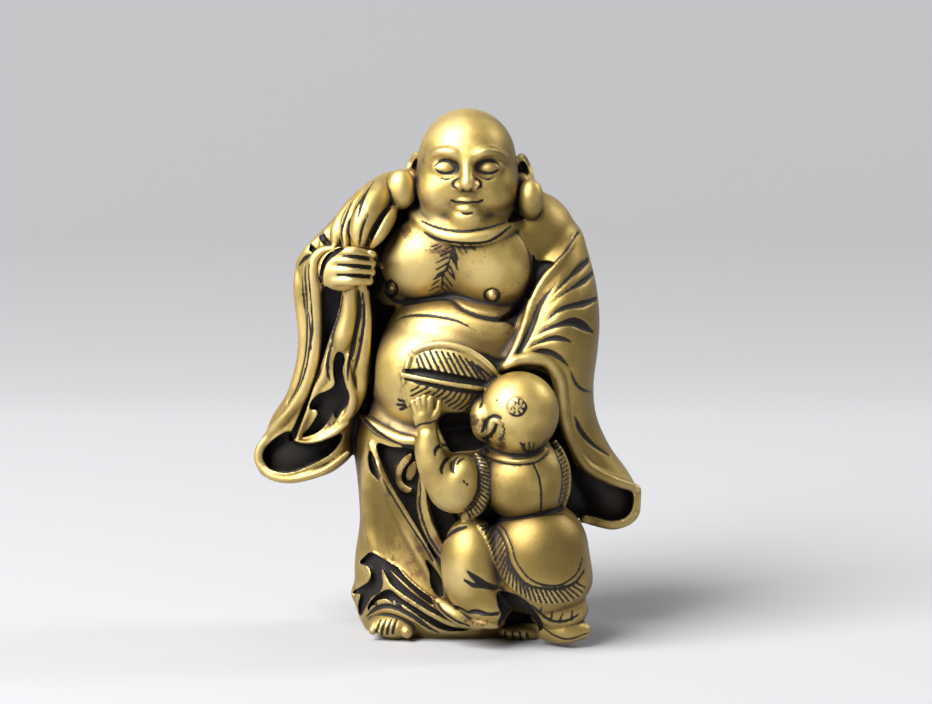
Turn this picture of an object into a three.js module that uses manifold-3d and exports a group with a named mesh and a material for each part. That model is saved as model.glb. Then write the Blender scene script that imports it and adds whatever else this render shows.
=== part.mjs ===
// A small cast brass figure: a stout smiling-bellied monk with a sack over his shoulder and a leaf fan in his hand,
// and a child who reaches up for the fan. It is one casting, solid to the flat underside that it stands on.
// X runs to the viewer's right, Y runs away from the viewer and Z is up. The origin is under the middle of the figure.
import * as THREE from "three";
import { mergeVertices } from "three/addons/utils/BufferGeometryUtils.js";
import { LoftGeometry } from "three/addons/geometries/LoftGeometry.js";
import Module from "manifold-3d";

const wasm = await Module();
wasm.setup();

// Driving dimensions, in millimetres.
const height = 99; // flat underside to the crown of the head
const hemRadius = 0.95; // rolled edge of the sleeves and the robe
const foldRadius = 1.2; // raised fold of cloth
const pleatRadius = 0.85; // cut between two folds on the arm
const fanThickness = 1.6;
const fanRimRadius = 0.6;
const fingerRadius = 0.95;
const fingerPitch = 1.75; // one finger to the next
const childFingerRadius = 0.5;
const ruffleRadius = 1.25; // frilled edge of the child's vest
const apronBorder = 1.3; // half the width of the apron's fringed border
const toeRadius = 1.3;
const facetCount = 9600; // flat facets on the whole surface
const ballSides = 20;
const ballRings = 13;
const limbSides = 8;
const drapeSides = 40;
const stepsPerPoint = 3; // rings of a limb or a drape for each point that it follows

// The pose and the masses were laid out on a figure 99 mm high, so they keep their share of the height.
const layoutHeight = 99;
const share = height / layoutHeight;
const at = (x, y, z) => new THREE.Vector3(x * share, y * share, z * share);

// A closed three.js geometry as a solid that can be joined and cut.
function solid(geometry) {
  const bare = geometry.index ? geometry.toNonIndexed() : geometry;
  const points = new THREE.BufferGeometry().setAttribute("position", bare.getAttribute("position"));
  const merged = mergeVertices(points, 1e-4);
  const corners = merged.index.array;
  const kept = [];
  for (let i = 0; i < corners.length; i += 3) {
    const [a, b, c] = [corners[i], corners[i + 1], corners[i + 2]];
    if (a !== b && b !== c && c !== a) kept.push(a, b, c);
  }
  const mesh = (order) => ({
    numProp: 3,
    vertProperties: merged.attributes.position.array,
    triVerts: new Uint32Array(order),
  });
  const made = new wasm.Manifold(new wasm.Mesh(mesh(kept)));
  return made.volume() < 0 ? new wasm.Manifold(new wasm.Mesh(mesh(kept.reverse()))) : made;
}

const fuse = (solids) => solids.reduce((whole, next) => whole.add(next));
const carve = (body, cutters) => cutters.reduce((whole, next) => whole.subtract(next), body);

// An egg-shaped mass with its own half sizes, turned by tilt about Y.
function ball(centre, radii, { tilt = 0 } = {}) {
  const geometry = new THREE.SphereGeometry(1, ballSides, ballRings);
  geometry.rotateX(Math.PI / 2);
  geometry.scale(radii[0] * share, radii[1] * share, radii[2] * share);
  geometry.rotateY(THREE.MathUtils.degToRad(tilt));
  const place = at(...centre);
  geometry.translate(place.x, place.y, place.z);
  return solid(geometry);
}

// Values at the stations of a form, read smoothly in between.
function smoothly(values, t) {
  const stations = values.map((v) => new THREE.Vector3(v, 0, 0));
  return new THREE.CatmullRomCurve3(stations, false, "catmullrom").getPoint(t).x;
}

// A round-ended bar that follows a smooth curve through its points. radii are half widths at the points, and flat
// is the share of them that the bar has in depth.
function limb(points, radii, { flat = 1, size = share } = {}) {
  const curve = new THREE.CatmullRomCurve3(points.map((p) => at(...p)));
  const widths = Array.isArray(radii) ? radii : points.map(() => radii);
  const steps = stepsPerPoint * points.length;
  const section = (t, outward, wide) => {
    const width = smoothly(widths, t) * size;
    const along = curve.getTangent(t);
    const across = new THREE.Vector3().crossVectors(along, new THREE.Vector3(0, 1, 0)).normalize();
    const deep = new THREE.Vector3().crossVectors(along, across).normalize();
    const middle = curve.getPoint(t).addScaledVector(along, outward * width);
    return Array.from({ length: limbSides }, (_, j) => {
      const angle = (2 * Math.PI * j) / limbSides;
      const spot = middle.clone().addScaledVector(across, width * wide * Math.cos(angle));
      return spot.addScaledVector(deep, width * wide * flat * Math.sin(angle));
    });
  };
  const roundEnd = [[0.97, 0.24], [0.71, 0.71]]; // how far out and how wide an end's rings are, in radii
  const sections = roundEnd.map(([out, wide]) => section(0, -out, wide));
  for (let i = 0; i <= steps; i += 1) sections.push(section(i / steps, 0, 1));
  for (const [out, wide] of [...roundEnd].reverse()) sections.push(section(1, out, wide));
  return solid(new LoftGeometry(sections, { capStart: true, capEnd: true }));
}

// A hanging mass, built of level rings. Each level is [height, middle x, middle y, half width, half depth], and
// fold gives how far the cloth stands out at an angle and a height.
function drape(levels, fold = () => 0) {
  const steps = stepsPerPoint * levels.length;
  const column = (k, t) => smoothly(levels.map((level) => level[k]), t);
  const sections = [];
  for (let i = 0; i <= steps; i += 1) {
    const [z, x, y, halfWidth, halfDepth] = [0, 1, 2, 3, 4].map((k) => column(k, i / steps));
    const ring = [];
    for (let j = 0; j < drapeSides; j += 1) {
      const angle = (2 * Math.PI * j) / drapeSides;
      const out = fold(angle, z);
      ring.push(at(x + Math.cos(angle) * (halfWidth + out), y + Math.sin(angle) * (halfDepth + out), z));
    }
    sections.push(ring);
  }
  return solid(new LoftGeometry(sections, { capStart: true, capEnd: true }));
}

// A thin leaf with a smooth outline that stands facing the viewer, its front at the depth given.
function leaf(outline, frontY, thickness) {
  const edge = new THREE.SplineCurve(outline.map(([x, z]) => new THREE.Vector2(x * share, z * share)));
  const geometry = new THREE.ExtrudeGeometry(new THREE.Shape(edge.getPoints(16).slice(0, -1)), {
    depth: thickness,
    bevelEnabled: false,
  });
  geometry.rotateX(Math.PI / 2);
  geometry.translate(0, frontY * share, 0);
  return solid(geometry);
}

function head() {
  const cranium = ball([3.2, -4.5, 89.3], [9.6, 10.2, 9.7]);
  const jaw = ball([3.2, -6.0, 83.8], [9.5, 9.0, 7.4]);
  const nose = limb([[3.2, -13.8, 89.8], [3.2, -14.6, 87.4], [3.2, -15.6, 85.6]], [0.8, 1.1, 1.5]);
  const mirrored = (make) => [-1, 1].map((side) => make(side));
  const nostrils = mirrored((side) => ball([3.2 + side * 1.5, -14.6, 85.3], [1.2, 1.3, 1.1]));
  const brows = mirrored((side) => {
    const path = [[1.5, -14.4, 90.6], [4.0, -13.6, 91.3], [6.4, -11.2, 90.0]];
    return limb(path.map(([x, y, z]) => [3.2 + side * x, y, z]), 0.8);
  });
  const lids = mirrored((side) => ball([3.2 + side * 3.8, -12.8, 88.3], [2.1, 1.7, 1.2]));
  const cheeks = mirrored((side) => ball([3.2 + side * 4.8, -11.6, 84.6], [3.4, 3.4, 3.0]));
  const lips = limb([[0.8, -14.3, 82.3], [3.2, -15.0, 82.0], [5.6, -14.3, 82.3]], 0.9);
  const chin = ball([3.2, -12.9, 79.2], [3.2, 2.2, 2.2]);
  return fuse([cranium, jaw, nose, ...nostrils, ...brows, ...lids, ...cheeks, lips, chin]);
}

function ears() {
  const leftLobe = ball([-9.0, -3.4, 83.4], [2.4, 2.3, 3.9]);
  const rightLobe = ball([14.7, -3.4, 82.0], [2.7, 2.4, 3.9]);
  const leftRim = limb([[-5.6, -3.0, 92.2], [-7.8, -1.2, 91.0], [-8.4, -1.2, 88], [-8.8, -2.4, 85.4]], 0.85);
  const rightRim = limb([[11.8, -3.4, 93], [13.8, -1.2, 92], [15.2, -0.4, 89], [15.4, -1.8, 85]], 0.85);
  const leftHollow = ball([-6.6, -1.4, 88.4], [1.3, 1.6, 3.8]);
  const rightHollow = ball([13.0, -1.0, 88.4], [1.9, 1.7, 4.2]);
  return fuse([leftLobe, rightLobe, leftRim, rightRim, leftHollow, rightHollow]);
}

const bellyCentre = [-1.2, -4.6, 49.8];
const bellyRadii = [14.0, 13.6, 12.2];

function torso() {
  const chest = ball([2.5, 0, 71], [15.0, 11, 12]);
  const leftBreast = ball([-4.8, -5.0, 70.9], [8.1, 7.6, 7.9]);
  const rightBreast = ball([7.8, -5.0, 70.2], [8.7, 8.6, 9.1]);
  const neckPath = [[-8.2, -6, 78.0], [-3.6, -11, 76.0], [2.3, -13.4, 75.3], [8.3, -11.8, 76.0], [12.8, -6, 78.0]];
  const neckRoll = limb(neckPath, 1.5);
  const rollPath = [[-10.4, -6.5, 60.4], [-4.4, -11, 60.9], [4, -12, 59.4], [10.6, -10, 56.6], [14, -5, 55]];
  const upperRoll = limb(rollPath, 3.7);
  const belly = ball(bellyCentre, bellyRadii);
  const bellySide = ball([6, -3, 50], [11, 12, 11]);
  const shoulder = ball([15, -0.5, 74.5], [8.6, 8.5, 9]);
  const nipples = [[-10.5, -7.2, 66.0], [7.7, -12.9, 65.9]].map((p) => ball(p, [0.8, 0.9, 0.8]));
  return fuse([chest, leftBreast, rightBreast, neckRoll, upperRoll, belly, bellySide, shoulder, ...nipples]);
}

// The robe from the shoulders to the hem, which trails on the ground, and the sack that hangs on the back.
function robe() {
  const levels = [
    [-1, 1, -0.5, 17.4, 12.6],
    [4, 1, -0.5, 18.8, 13.0],
    [9, 1, -0.3, 20.0, 12.6],
    [14, 1, 0, 19.3, 12.4],
    [21, 1, 0, 18.0, 12.3],
    [29, 1, -0.6, 18.4, 13.2],
    [37, 0.5, -0.6, 18.8, 14.2],
    [43, 0.2, 0.6, 18.0, 13.0],
    [50, 0, 2.6, 17.4, 11.2],
    [60, 0, 3.5, 17.4, 10.6],
    [71, 0, 3, 16.8, 10.0],
    [79, 1, 1.5, 13.5, 8.6],
    [85, 2, 0.5, 6.0, 5.0],
  ];
  const foldCount = 9; // folds round the back of the robe
  const foldDepth = 0.7;
  const backOnly = (angle) => Math.max(0, Math.sin(angle));
  const body = drape(levels, (angle, z) => foldDepth * Math.cos(foldCount * angle + z / 14) * backOnly(angle));
  const sack = ball([-4.5, 11.5, 60], [14.5, 9.5, 18.5], { tilt: 12 });
  return fuse([body, sack]);
}

function leftSleeve() {
  const levels = [
    [29.2, -30.0, -2, 4.0, 4.0],
    [30.6, -28.8, -2, 7.0, 5.4],
    [33.8, -27.2, -2, 9.0, 6.6],
    [37.4, -26.2, -2, 8.4, 6.8],
    [41, -24.5, -2, 7.2, 6.6],
    [46, -22.9, -2, 5.8, 6.4],
    [54, -21.8, -2.2, 5.4, 6.4],
    [62, -21.9, -2.6, 6.2, 7.0],
    [68, -21.6, -3.0, 7.2, 8.2],
    [72, -20.0, -3.0, 7.4, 8.6],
    [76, -17.4, -2.4, 6.2, 8.2],
    [80, -14.6, -1.4, 5.2, 7.2],
    [84, -12.0, -0.8, 4.0, 5.6],
    [86.6, -10.5, -0.6, 1.4, 2.6],
  ];
  const cloth = drape(levels);
  const stripPath = [
    [-21.6, -12.0, 72.6],
    [-25.0, -10.4, 70.6],
    [-25.8, -9.2, 65],
    [-25.0, -8.4, 57],
    [-25.2, -8.0, 50],
    [-27.2, -7.6, 44],
    [-31.2, -7.0, 38.6],
  ];
  const strip = limb(stripPath, [1.2, 1.8, 2.1, 2.1, 2.1, 2.2, 1.8], { flat: 0.6 });
  const rimPath = [
    [-34.8, -4.5, 35.4],
    [-35.0, -5.0, 31.6],
    [-31.6, -6.4, 30.2],
    [-27.0, -7.6, 30.8],
    [-22.8, -7.8, 32.2],
    [-19.0, -6.0, 34.6],
  ];
  const rim = limb(rimPath, hemRadius, { size: 1 });
  return { adds: [cloth, strip, rim], cuts: [ball([-27.4, -8.4, 35.0], [7.2, 6.4, 3.5], { tilt: 12 })] };
}

// The gathered neck of the sack, which the hand grips in front of the shoulder, and its loose mouth below.
function sackNeck() {
  const foldPaths = [
    [[[-17.6, -12.6, 74.4], [-15.2, -10.6, 80], [-11.6, -5.4, 85.2]], [1.6, 2.2, 2.0]],
    [[[-14.6, -10.6, 74.2], [-12.4, -9.4, 77.8], [-9.6, -6.0, 81.4]], [0.9, 1.9, 1.4]],
    [[[-21.2, -11.4, 74.0], [-19, -8.6, 79.2], [-14.8, -3.6, 84.2]], [1.2, 1.7, 1.4]],
    [[[-25.6, -7.6, 71.6], [-22.6, -6.2, 76.6], [-18.6, -3, 81.2]], [1.1, 1.4, 1.1]],
  ];
  const folds = foldPaths.map(([path, radii]) => limb(path, radii));
  const mouthPath = [[-18.2, -10.6, 67], [-18.6, -10.2, 55], [-20.4, -9.4, 46.5], [-22.6, -8.4, 40.5]];
  const mouth = limb(mouthPath, [3.2, 3.8, 5.2, 4.8], { flat: 0.5 });
  const creasePaths = [
    [[-19.6, -12.8, 66], [-20.2, -12.6, 56], [-22.6, -11.8, 46], [-27.4, -9.0, 38]],
    [[-15.4, -12.2, 66], [-15.2, -12.0, 56], [-16.0, -11.4, 46], [-18.8, -9.4, 40]],
  ];
  const creases = creasePaths.map((path) => limb(path, foldRadius, { size: 1 }));
  const tip = limb([[-28.2, -9.0, 37.4], [-23.4, -9.6, 38.6], [-18.4, -8.8, 40.4]], hemRadius, { size: 1 });
  const openingPath = [[-19.8, -13.0, 54.5], [-19.6, -12.8, 49], [-20.6, -12.2, 44.8], [-23.6, -11.4, 41.2]];
  const opening = limb(openingPath, [0.9, 1.5, 2.2, 1.1]);
  const sleeveGap = limb([[-22.5, -12.4, 66.5], [-22.3, -11.0, 58], [-23.2, -10.4, 50], [-26.0, -9.8, 42]], [0.9, 1.2, 1.2, 1.2]);
  return { adds: [...folds, mouth, ...creases, tip], cuts: [opening, sleeveGap] };
}

function grippingHand() {
  const palm = ball([-20.6, -12.6, 70.2], [3.6, 3.6, 3.7]);
  const fingers = [];
  for (let i = 0; i < 4; i += 1) {
    const z = 72.9 - i * fingerPitch;
    const path = [[-20.6, -14.9, z + 0.2], [-17.4, -16.2, z], [-14.4, -14.6, z - 0.2]];
    fingers.push(limb(path, fingerRadius, { size: 1 }));
  }
  return fuse([palm, ...fingers]);
}

function rightSleeve() {
  const levels = [
    [20.9, 30.6, -2.6, 3.0, 3.4],
    [22.6, 29.8, -2.8, 4.9, 5.0],
    [26.8, 29.2, -3, 5.8, 6.2],
    [30.5, 27.0, -3, 6.4, 6.6],
    [35.4, 24.4, -3, 5.5, 6.8],
    [41, 22.4, -3, 5.0, 7.2],
    [47, 21.0, -4, 5.7, 8.6],
    [54, 19.6, -5.0, 7.8, 10.0],
    [60, 19.6, -4.8, 8.1, 9.8],
    [66, 19.8, -3.8, 7.3, 8.6],
    [72, 19.8, -2.0, 5.8, 7.4],
    [76, 20.2, -0.6, 4.0, 5.6],
    [79, 19.4, 0.4, 1.6, 3.4],
  ];
  const cloth = drape(levels);
  const forearm = limb([[21, -6, 58], [16, -10.5, 55.5], [11.6, -14.6, 53]], [5.6, 4.4, 1.8]);
  const edgePath = [
    [24.6, -4, 75.8],
    [19.4, -8.4, 70.9],
    [15.9, -10.8, 66.2],
    [14.1, -12.8, 61.2],
    [12.4, -14.6, 56.8],
    [10.9, -16, 53.4],
  ];
  const frontEdge = limb(edgePath, hemRadius, { size: 1 });
  const cuffPath = [
    [10.9, -16.2, 52.6],
    [15.1, -15.8, 54.0],
    [18.3, -14.6, 51.6],
    [20.1, -13.2, 46.9],
    [20.9, -11.8, 42],
    [22.4, -10.6, 36.1],
    [25.2, -9.6, 32.3],
    [29.8, -8.6, 29.2],
    [33.6, -6, 27],
  ];
  const cuff = limb(cuffPath, 1.35);
  const rimPath = [[34.6, -5, 26.6], [34.4, -5.6, 23.4], [31.8, -6.8, 21.7], [28.2, -8, 21.7], [24.6, -8.4, 22.8]];
  const rim = limb(rimPath, hemRadius, { size: 1 });
  const pleats = [];
  const pleatCount = 5;
  const gather = [12.6, -15.8, 55.2]; // the pleats spread from the crook of the arm
  for (let i = 0; i < pleatCount; i += 1) {
    const turn = THREE.MathUtils.degToRad(62 - (i * 62) / (pleatCount - 1));
    const reach = 15.5 - 4.5 * Math.abs(i / (pleatCount - 1) - 0.3);
    const along = (part) => [
      gather[0] + Math.cos(turn) * reach * part,
      gather[1] + 0.4 + 7.6 * part * part * Math.cos(turn) ** 2 + 4.4 * part * Math.sin(turn) ** 2,
      gather[2] + Math.sin(turn) * reach * part - 2.2 * part * part,
    ];
    pleats.push(limb([along(0.16), along(0.55), along(1)], [0.3, pleatRadius, 0.4], { size: 1 }));
  }
  const cavity = ball([28.8, -8.6, 25.4], [5.1, 6.6, 3.3], { tilt: 14 });
  return { adds: [cloth, forearm, frontEdge, cuff, rim], cuts: [...pleats, cavity] };
}

// The leaf fan, which lies along the curve of the belly.
function fan() {
  const outline = [
    [-8.7, 50.7], [-7.6, 53.8], [-4.9, 56.3], [-1, 57.2], [4.6, 55.8], [9.2, 52.4],
    [7.4, 47.8], [3.8, 44.8], [-1.5, 43.8], [-6.6, 45.6], [-8.3, 48.3], [-8.7, 50.7],
  ];
  const [x, y, z] = bellyCentre;
  const standOff = (x1, z1, lift) => {
    const [a, b, c] = bellyRadii.map((r) => r + lift);
    return y - b * Math.sqrt(1 - ((x1 - x) / a) ** 2 - ((z1 - z) / c) ** 2);
  };
  const shell = ball(bellyCentre, bellyRadii.map((r) => r + fanThickness));
  const blade = shell.intersect(leaf(outline, y - bellyRadii[1] - 2 * fanThickness, bellyRadii[1]));
  const rim = limb(outline.map(([x1, z1]) => [x1, standOff(x1, z1, fanThickness), z1]), fanRimRadius, { size: 1 });
  const spinePath = [-8.6, -4.4, -0.2, 4.0, 8.2].map((x1) => [x1, standOff(x1, 49.6 - x1 / 8, fanThickness), 49.6 - x1 / 8]);
  return fuse([blade, rim, limb(spinePath, fanRimRadius, { size: 1 })]);
}

function child() {
  const skull = ball([12.5, -18.6, 44.7], [7.2, 7.0, 7.4]);
  const face = ball([6.0, -19.6, 43.2], [2.9, 3.4, 3.9]);
  const ear = limb([[8.9, -24.2, 43.4], [7.4, -23.8, 42.8], [7.5, -23.4, 41.0], [8.5, -23.2, 40.2]], 0.6);
  const tuft = ball([11.9, -25.0, 46.6], [1.7, 0.9, 1.7]);
  const neck = ball([12.5, -16.5, 38], [5.4, 5.0, 3.2]);
  const collar = limb([[7.0, -19.4, 37.4], [12.9, -21.9, 36.3], [18.6, -19.0, 37.4]], 0.8);
  const chest = ball([14.2, -14.8, 31.4], [9.0, 7.6, 7.8]);
  const elbow = ball([0.9, -18.2, 31.4], [4.9, 4.2, 5.9]);
  const shoulder = ball([1.4, -18.4, 35.2], [3.4, 3.4, 3.4]);
  const forearm = limb([[-0.6, -18.6, 30], [-3.0, -19.2, 33], [-3.7, -20, 37.6], [-3.6, -20.4, 42]], [3.0, 2.5, 2.2, 1.6]);
  const hand = ball([-3.6, -20.4, 43.8], [2.3, 1.7, 2.2]);
  const fingers = [];
  for (let i = 0; i < 4; i += 1) {
    const x = -5.3 + i * 1.05;
    fingers.push(limb([[x, -21.2, 44.2], [x - 0.1, -21.2, 46.6]], childFingerRadius, { size: 1 }));
  }
  const thumb = limb([[-2.0, -21.0, 43.6], [-1.3, -21.0, 44.6], [-1.4, -20.8, 46]], 0.55);
  const ruffles = [
    [[5.2, -18.6, 37.6], [6.8, -19.4, 34], [6.5, -19.9, 30], [5.0, -19.9, 27], [2.4, -19.2, 26]],
    [[19.6, -18.2, 38.6], [21.3, -18.0, 33], [21.5, -17.6, 27.2]],
  ].map((path) => limb(path, ruffleRadius, { flat: 0.8, size: 1 }));
  const hips = ball([16.4, -13.6, 17.8], [9.7, 9.4, 9.6]);
  const apronPath = [
    [5.2, -20.0, 23.8],
    [8.2, -21.6, 17.4],
    [11.9, -21.9, 12.2],
    [17.7, -21.9, 10.2],
    [22.6, -19.2, 10.4],
    [25.2, -14.8, 12.6],
    [25.5, -13.4, 20.5],
  ];
  const border = limb(apronPath, apronBorder, { flat: 0.7, size: 1 });
  const knee = ball([3.8, -15.8, 14.6], [5.4, 6.2, 9.0]);
  const shin = ball([6.4, -15.6, 8.8], [3.8, 5.0, 3.6]);
  const farLeg = ball([20, -13.6, 7], [5.6, 5.6, 4.2]);
  const shoe = ball([21.8, -17.2, 1.6], [4.1, 5.2, 3.4]);
  const nearShoe = limb([[-1.6, -16.6, 7.2], [1.6, -17.6, 5.2], [6.6, -17.4, 3.4]], [1.4, 2.4, 2.6]);
  const upper = [skull, face, ear, tuft, neck, collar, chest, elbow, shoulder, forearm, hand, ...fingers, thumb, ...ruffles];
  return fuse([...upper, hips, border, knee, shin, farLeg, shoe, nearShoe]);
}

// Belt, sash and the folds of the skirt's front, with the dark gaps that part them.
function skirtFront() {
  const foldPaths = [
    [[[-16.6, -5.8, 42], [-12.9, -10.4, 39.6], [-7.5, -13.2, 37.7], [-2.6, -14.4, 36.6]], 0.9],
    [[[-15.2, -9.2, 37.8], [-10, -12.2, 27.6], [-4.5, -13.4, 19.4], [0.6, -13.6, 8.6]], foldRadius],
    [[[-12.6, -9.8, 37.2], [-8.0, -12.8, 29], [-2.6, -13.6, 21], [1.0, -13.6, 14]], 0.9],
    [[[-5.4, -13.4, 34], [-4.6, -13.8, 26.3], [-1.5, -14, 16.6]], foldRadius],
    [[[-9.8, -13.0, 33.2], [-10.2, -13.6, 30.8], [-8.4, -13.6, 28.8]], 1.0],
    [[[-16.8, -8.2, 15.4], [-11.4, -11.6, 14.6], [-8.7, -12.8, 11.5], [-2.5, -13.8, 7.6], [3.3, -14.2, 5.2]], foldRadius],
    [[[-12.3, -11.2, 12.8], [-6.1, -13.2, 7.4], [0, -14, 4.4], [6, -14, 2.6]], 0.9],
    [[[-17.2, -7.6, 2.4], [-15.6, -9.4, 4.6], [-11.5, -11.8, 7.2], [-6.7, -12.8, 5.4], [-0.5, -13.4, 2.4]], foldRadius],
    [[[-17.8, -5.5, 13.4], [-16.6, -7.4, 11.4]], 1.8],
    [[[-18.0, -5.0, 8.6], [-16.8, -7.4, 7.2]], 1.7],
  ];
  const gapPaths = [
    [[[-9.6, -13.6, 35], [-6.4, -14.4, 28], [-3.2, -15, 21]], [0.8, 1.5, 0.6]],
    [[[-15.6, -10.6, 13.6], [-14.8, -11.2, 9.6], [-15.8, -9.6, 6]], [1.5, 1.5, 0.7]],
    [[[-12.0, -12.6, 10.6], [-6.6, -14.4, 9.4], [-1, -15.2, 5.6]], [0.7, 0.7, 0.4]],
  ];
  const adds = foldPaths.map(([path, radius]) => limb(path, radius, { size: 1 }));
  const cuts = gapPaths.map(([path, radii]) => limb(path, radii));
  return { adds, cuts };
}

function feet() {
  const instep = ball([-10.4, -7.4, 1.8], [5.0, 5.2, 3.2]);
  const bigToe = ball([-7.6, -11.4, 1.4], [2.2, 2.6, 1.9]);
  const toes = limb([[-14.6, -9.2, 0.8], [-12.2, -10.8, 1.0], [-9.6, -12.2, 1.2]], toeRadius, { size: 1 });
  const farInstep = ball([12, -12, 1.4], [3.8, 5.4, 2.2]);
  return fuse([instep, bigToe, toes, farInstep]);
}

// The ground's own block, which cuts the underside flat.
function ground() {
  const side = 2 * height;
  const geometry = new THREE.BoxGeometry(side, side, side);
  geometry.translate(0, 0, -side / 2);
  return solid(geometry);
}

const [leftArm, rightArm, sack, skirt] = [leftSleeve(), rightSleeve(), sackNeck(), skirtFront()];
const cloth = fuse([robe(), ...leftArm.adds, ...rightArm.adds, ...sack.adds, ...skirt.adds]);
const clothed = carve(fuse([torso(), cloth]), [...leftArm.cuts, ...rightArm.cuts, ...sack.cuts, ...skirt.cuts]);
const whole = fuse([clothed, head(), ears(), grippingHand(), fan(), child(), feet()]).subtract(ground());

// The surface of a solid with its flattest facets merged, until no more than the given number is left. A merge
// that would pinch the surface or turn a facet over is left out.
function thinned(shape, mostFacets) {
  const { vertProperties, triVerts } = shape.getMesh();
  const spots = Array.from({ length: vertProperties.length / 3 }, (_, i) =>
    new THREE.Vector3().fromArray(vertProperties, 3 * i),
  );
  let facets = Array.from({ length: triVerts.length / 3 }, (_, i) => [...triVerts.slice(3 * i, 3 * i + 3)]);
  const [u, v] = [new THREE.Vector3(), new THREE.Vector3()];
  const normalOf = ([a, b, c]) => {
    u.subVectors(spots[b], spots[a]);
    v.subVectors(spots[c], spots[a]);
    return new THREE.Vector3().crossVectors(u, v);
  };
  // Each corner remembers the planes of its first facets, weighted by area.
  const planes = spots.map(() => []);
  for (const facet of facets) {
    const normal = normalOf(facet);
    const area = normal.length();
    const plane = new THREE.Plane().setFromNormalAndCoplanarPoint(normal.normalize(), spots[facet[0]]);
    facet.forEach((corner) => planes[corner].push([plane, area]));
  }
  const strain = (from, to) =>
    planes[from].reduce((sum, [plane, area]) => sum + area * plane.distanceToPoint(spots[to]) ** 2, 0) +
    1e-4 * spots[from].distanceToSquared(spots[to]);
  while (facets.length > mostFacets) {
    const around = spots.map(() => []);
    facets.forEach((facet, i) => facet.forEach((corner) => around[corner].push(i)));
    const neighbours = (corner) => new Set(around[corner].flatMap((i) => facets[i]));
    const merges = [];
    for (const [a, b, c] of facets) {
      for (const [from, to] of [[a, b], [b, c], [c, a]]) merges.push([strain(from, to), from, to]);
    }
    merges.sort((one, other) => one[0] - other[0]);
    const touched = new Set();
    const wanted = Math.min((facets.length - mostFacets) / 2, facets.length / 20);
    let merged = 0;
    for (const [, from, to] of merges) {
      if (merged >= wanted) break;
      const near = neighbours(from);
      if ([...near].some((corner) => touched.has(corner))) continue;
      const beyond = neighbours(to);
      if ([...near].filter((corner) => beyond.has(corner)).length !== 4) continue;
      const kept = around[from].filter((i) => !facets[i].includes(to));
      const moved = kept.map((i) => facets[i].map((corner) => (corner === from ? to : corner)));
      if (kept.some((i, k) => normalOf(facets[i]).normalize().dot(normalOf(moved[k]).normalize()) < 0.3)) continue;
      around[from].forEach((i) => (facets[i] = null));
      kept.forEach((i, k) => (facets[i] = moved[k]));
      planes[to].push(...planes[from]);
      [...near].forEach((corner) => touched.add(corner));
      merged += 1;
    }
    facets = facets.filter((facet) => facet);
    if (merged === 0) break;
  }
  const geometry = new THREE.BufferGeometry();
  geometry.setAttribute("position", new THREE.Float32BufferAttribute(spots.flatMap((spot) => spot.toArray()), 3));
  geometry.setIndex(facets.flat());
  return mergeVertices(geometry.toNonIndexed());
}

const surface = thinned(whole, facetCount);
surface.computeBoundingBox();
const middle = surface.boundingBox.getCenter(new THREE.Vector3());
surface.translate(-middle.x, -middle.y, 0);
surface.computeVertexNormals();

const brass = new THREE.MeshStandardMaterial({ color: 0xb89b52, metalness: 1, roughness: 0.36 });
const casting = new THREE.Mesh(surface, brass);
casting.name = "monk_with_child";

const figure = new THREE.Group();
figure.add(casting);

export default figure;
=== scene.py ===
import math

import bmesh
import bpy
import numpy as np
import openvdb
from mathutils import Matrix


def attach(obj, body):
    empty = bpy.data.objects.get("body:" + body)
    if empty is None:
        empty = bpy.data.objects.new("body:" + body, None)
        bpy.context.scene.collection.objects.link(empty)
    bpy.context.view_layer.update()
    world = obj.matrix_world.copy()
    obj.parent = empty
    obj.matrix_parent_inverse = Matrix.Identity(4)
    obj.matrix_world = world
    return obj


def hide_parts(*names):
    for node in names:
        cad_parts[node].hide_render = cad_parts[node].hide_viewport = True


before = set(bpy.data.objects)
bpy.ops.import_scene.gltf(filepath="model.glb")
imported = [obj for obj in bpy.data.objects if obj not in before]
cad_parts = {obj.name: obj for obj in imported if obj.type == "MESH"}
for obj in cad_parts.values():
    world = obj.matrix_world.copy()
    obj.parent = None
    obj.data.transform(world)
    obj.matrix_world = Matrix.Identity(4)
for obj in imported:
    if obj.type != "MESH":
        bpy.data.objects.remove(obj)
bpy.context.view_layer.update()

# BELLY, CHEST AND SHOULDER
# The bare upper body. The whole figure is one brass casting from a wax pattern, so its forms are pressed
# together here as wax: a field over a block of space, negative inside, in millimetres, with X to the
# viewer's right.
grain = 0.25
corner = np.array([-38.0, -28.0, -1.5])
block_size = np.array([76.0, 51.0, 102.5])
far_off = 4.0
wax = np.full(np.round(block_size / grain).astype(int) + 1, far_off, np.float32)
black = np.zeros_like(wax)
rulers = [(corner[k] + grain * np.arange(wax.shape[k])).astype(np.float32) for k in range(3)]


def block(low, high):
    """The grains between two corners: their place in the field, and their coordinates."""
    start = np.clip(np.floor((np.asarray(low) - corner) / grain).astype(int), 0, np.array(wax.shape) - 2)
    stop = np.clip(np.ceil((np.asarray(high) - corner) / grain).astype(int) + 1, start + 1, wax.shape)
    where = tuple(slice(a, b) for a, b in zip(start, stop))
    x, y, z = (rulers[k][where[k]].reshape([-1 if i == k else 1 for i in range(3)]) for k in range(3))
    return where, x, y, z


def merged(a, b, blend):
    """The nearer of two distances, with a fillet of the blend's size where they meet."""
    near = np.maximum(blend - np.abs(a - b), 0)
    return np.minimum(a, b) - near * near / (4 * blend + 1e-9)


def join(where, distance, blend):
    """Presses wax on, which comes up bright."""
    wax[where] = merged(wax[where], distance.astype(np.float32), blend)
    black[where] *= np.clip(distance / 0.5, 0, 1)


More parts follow.
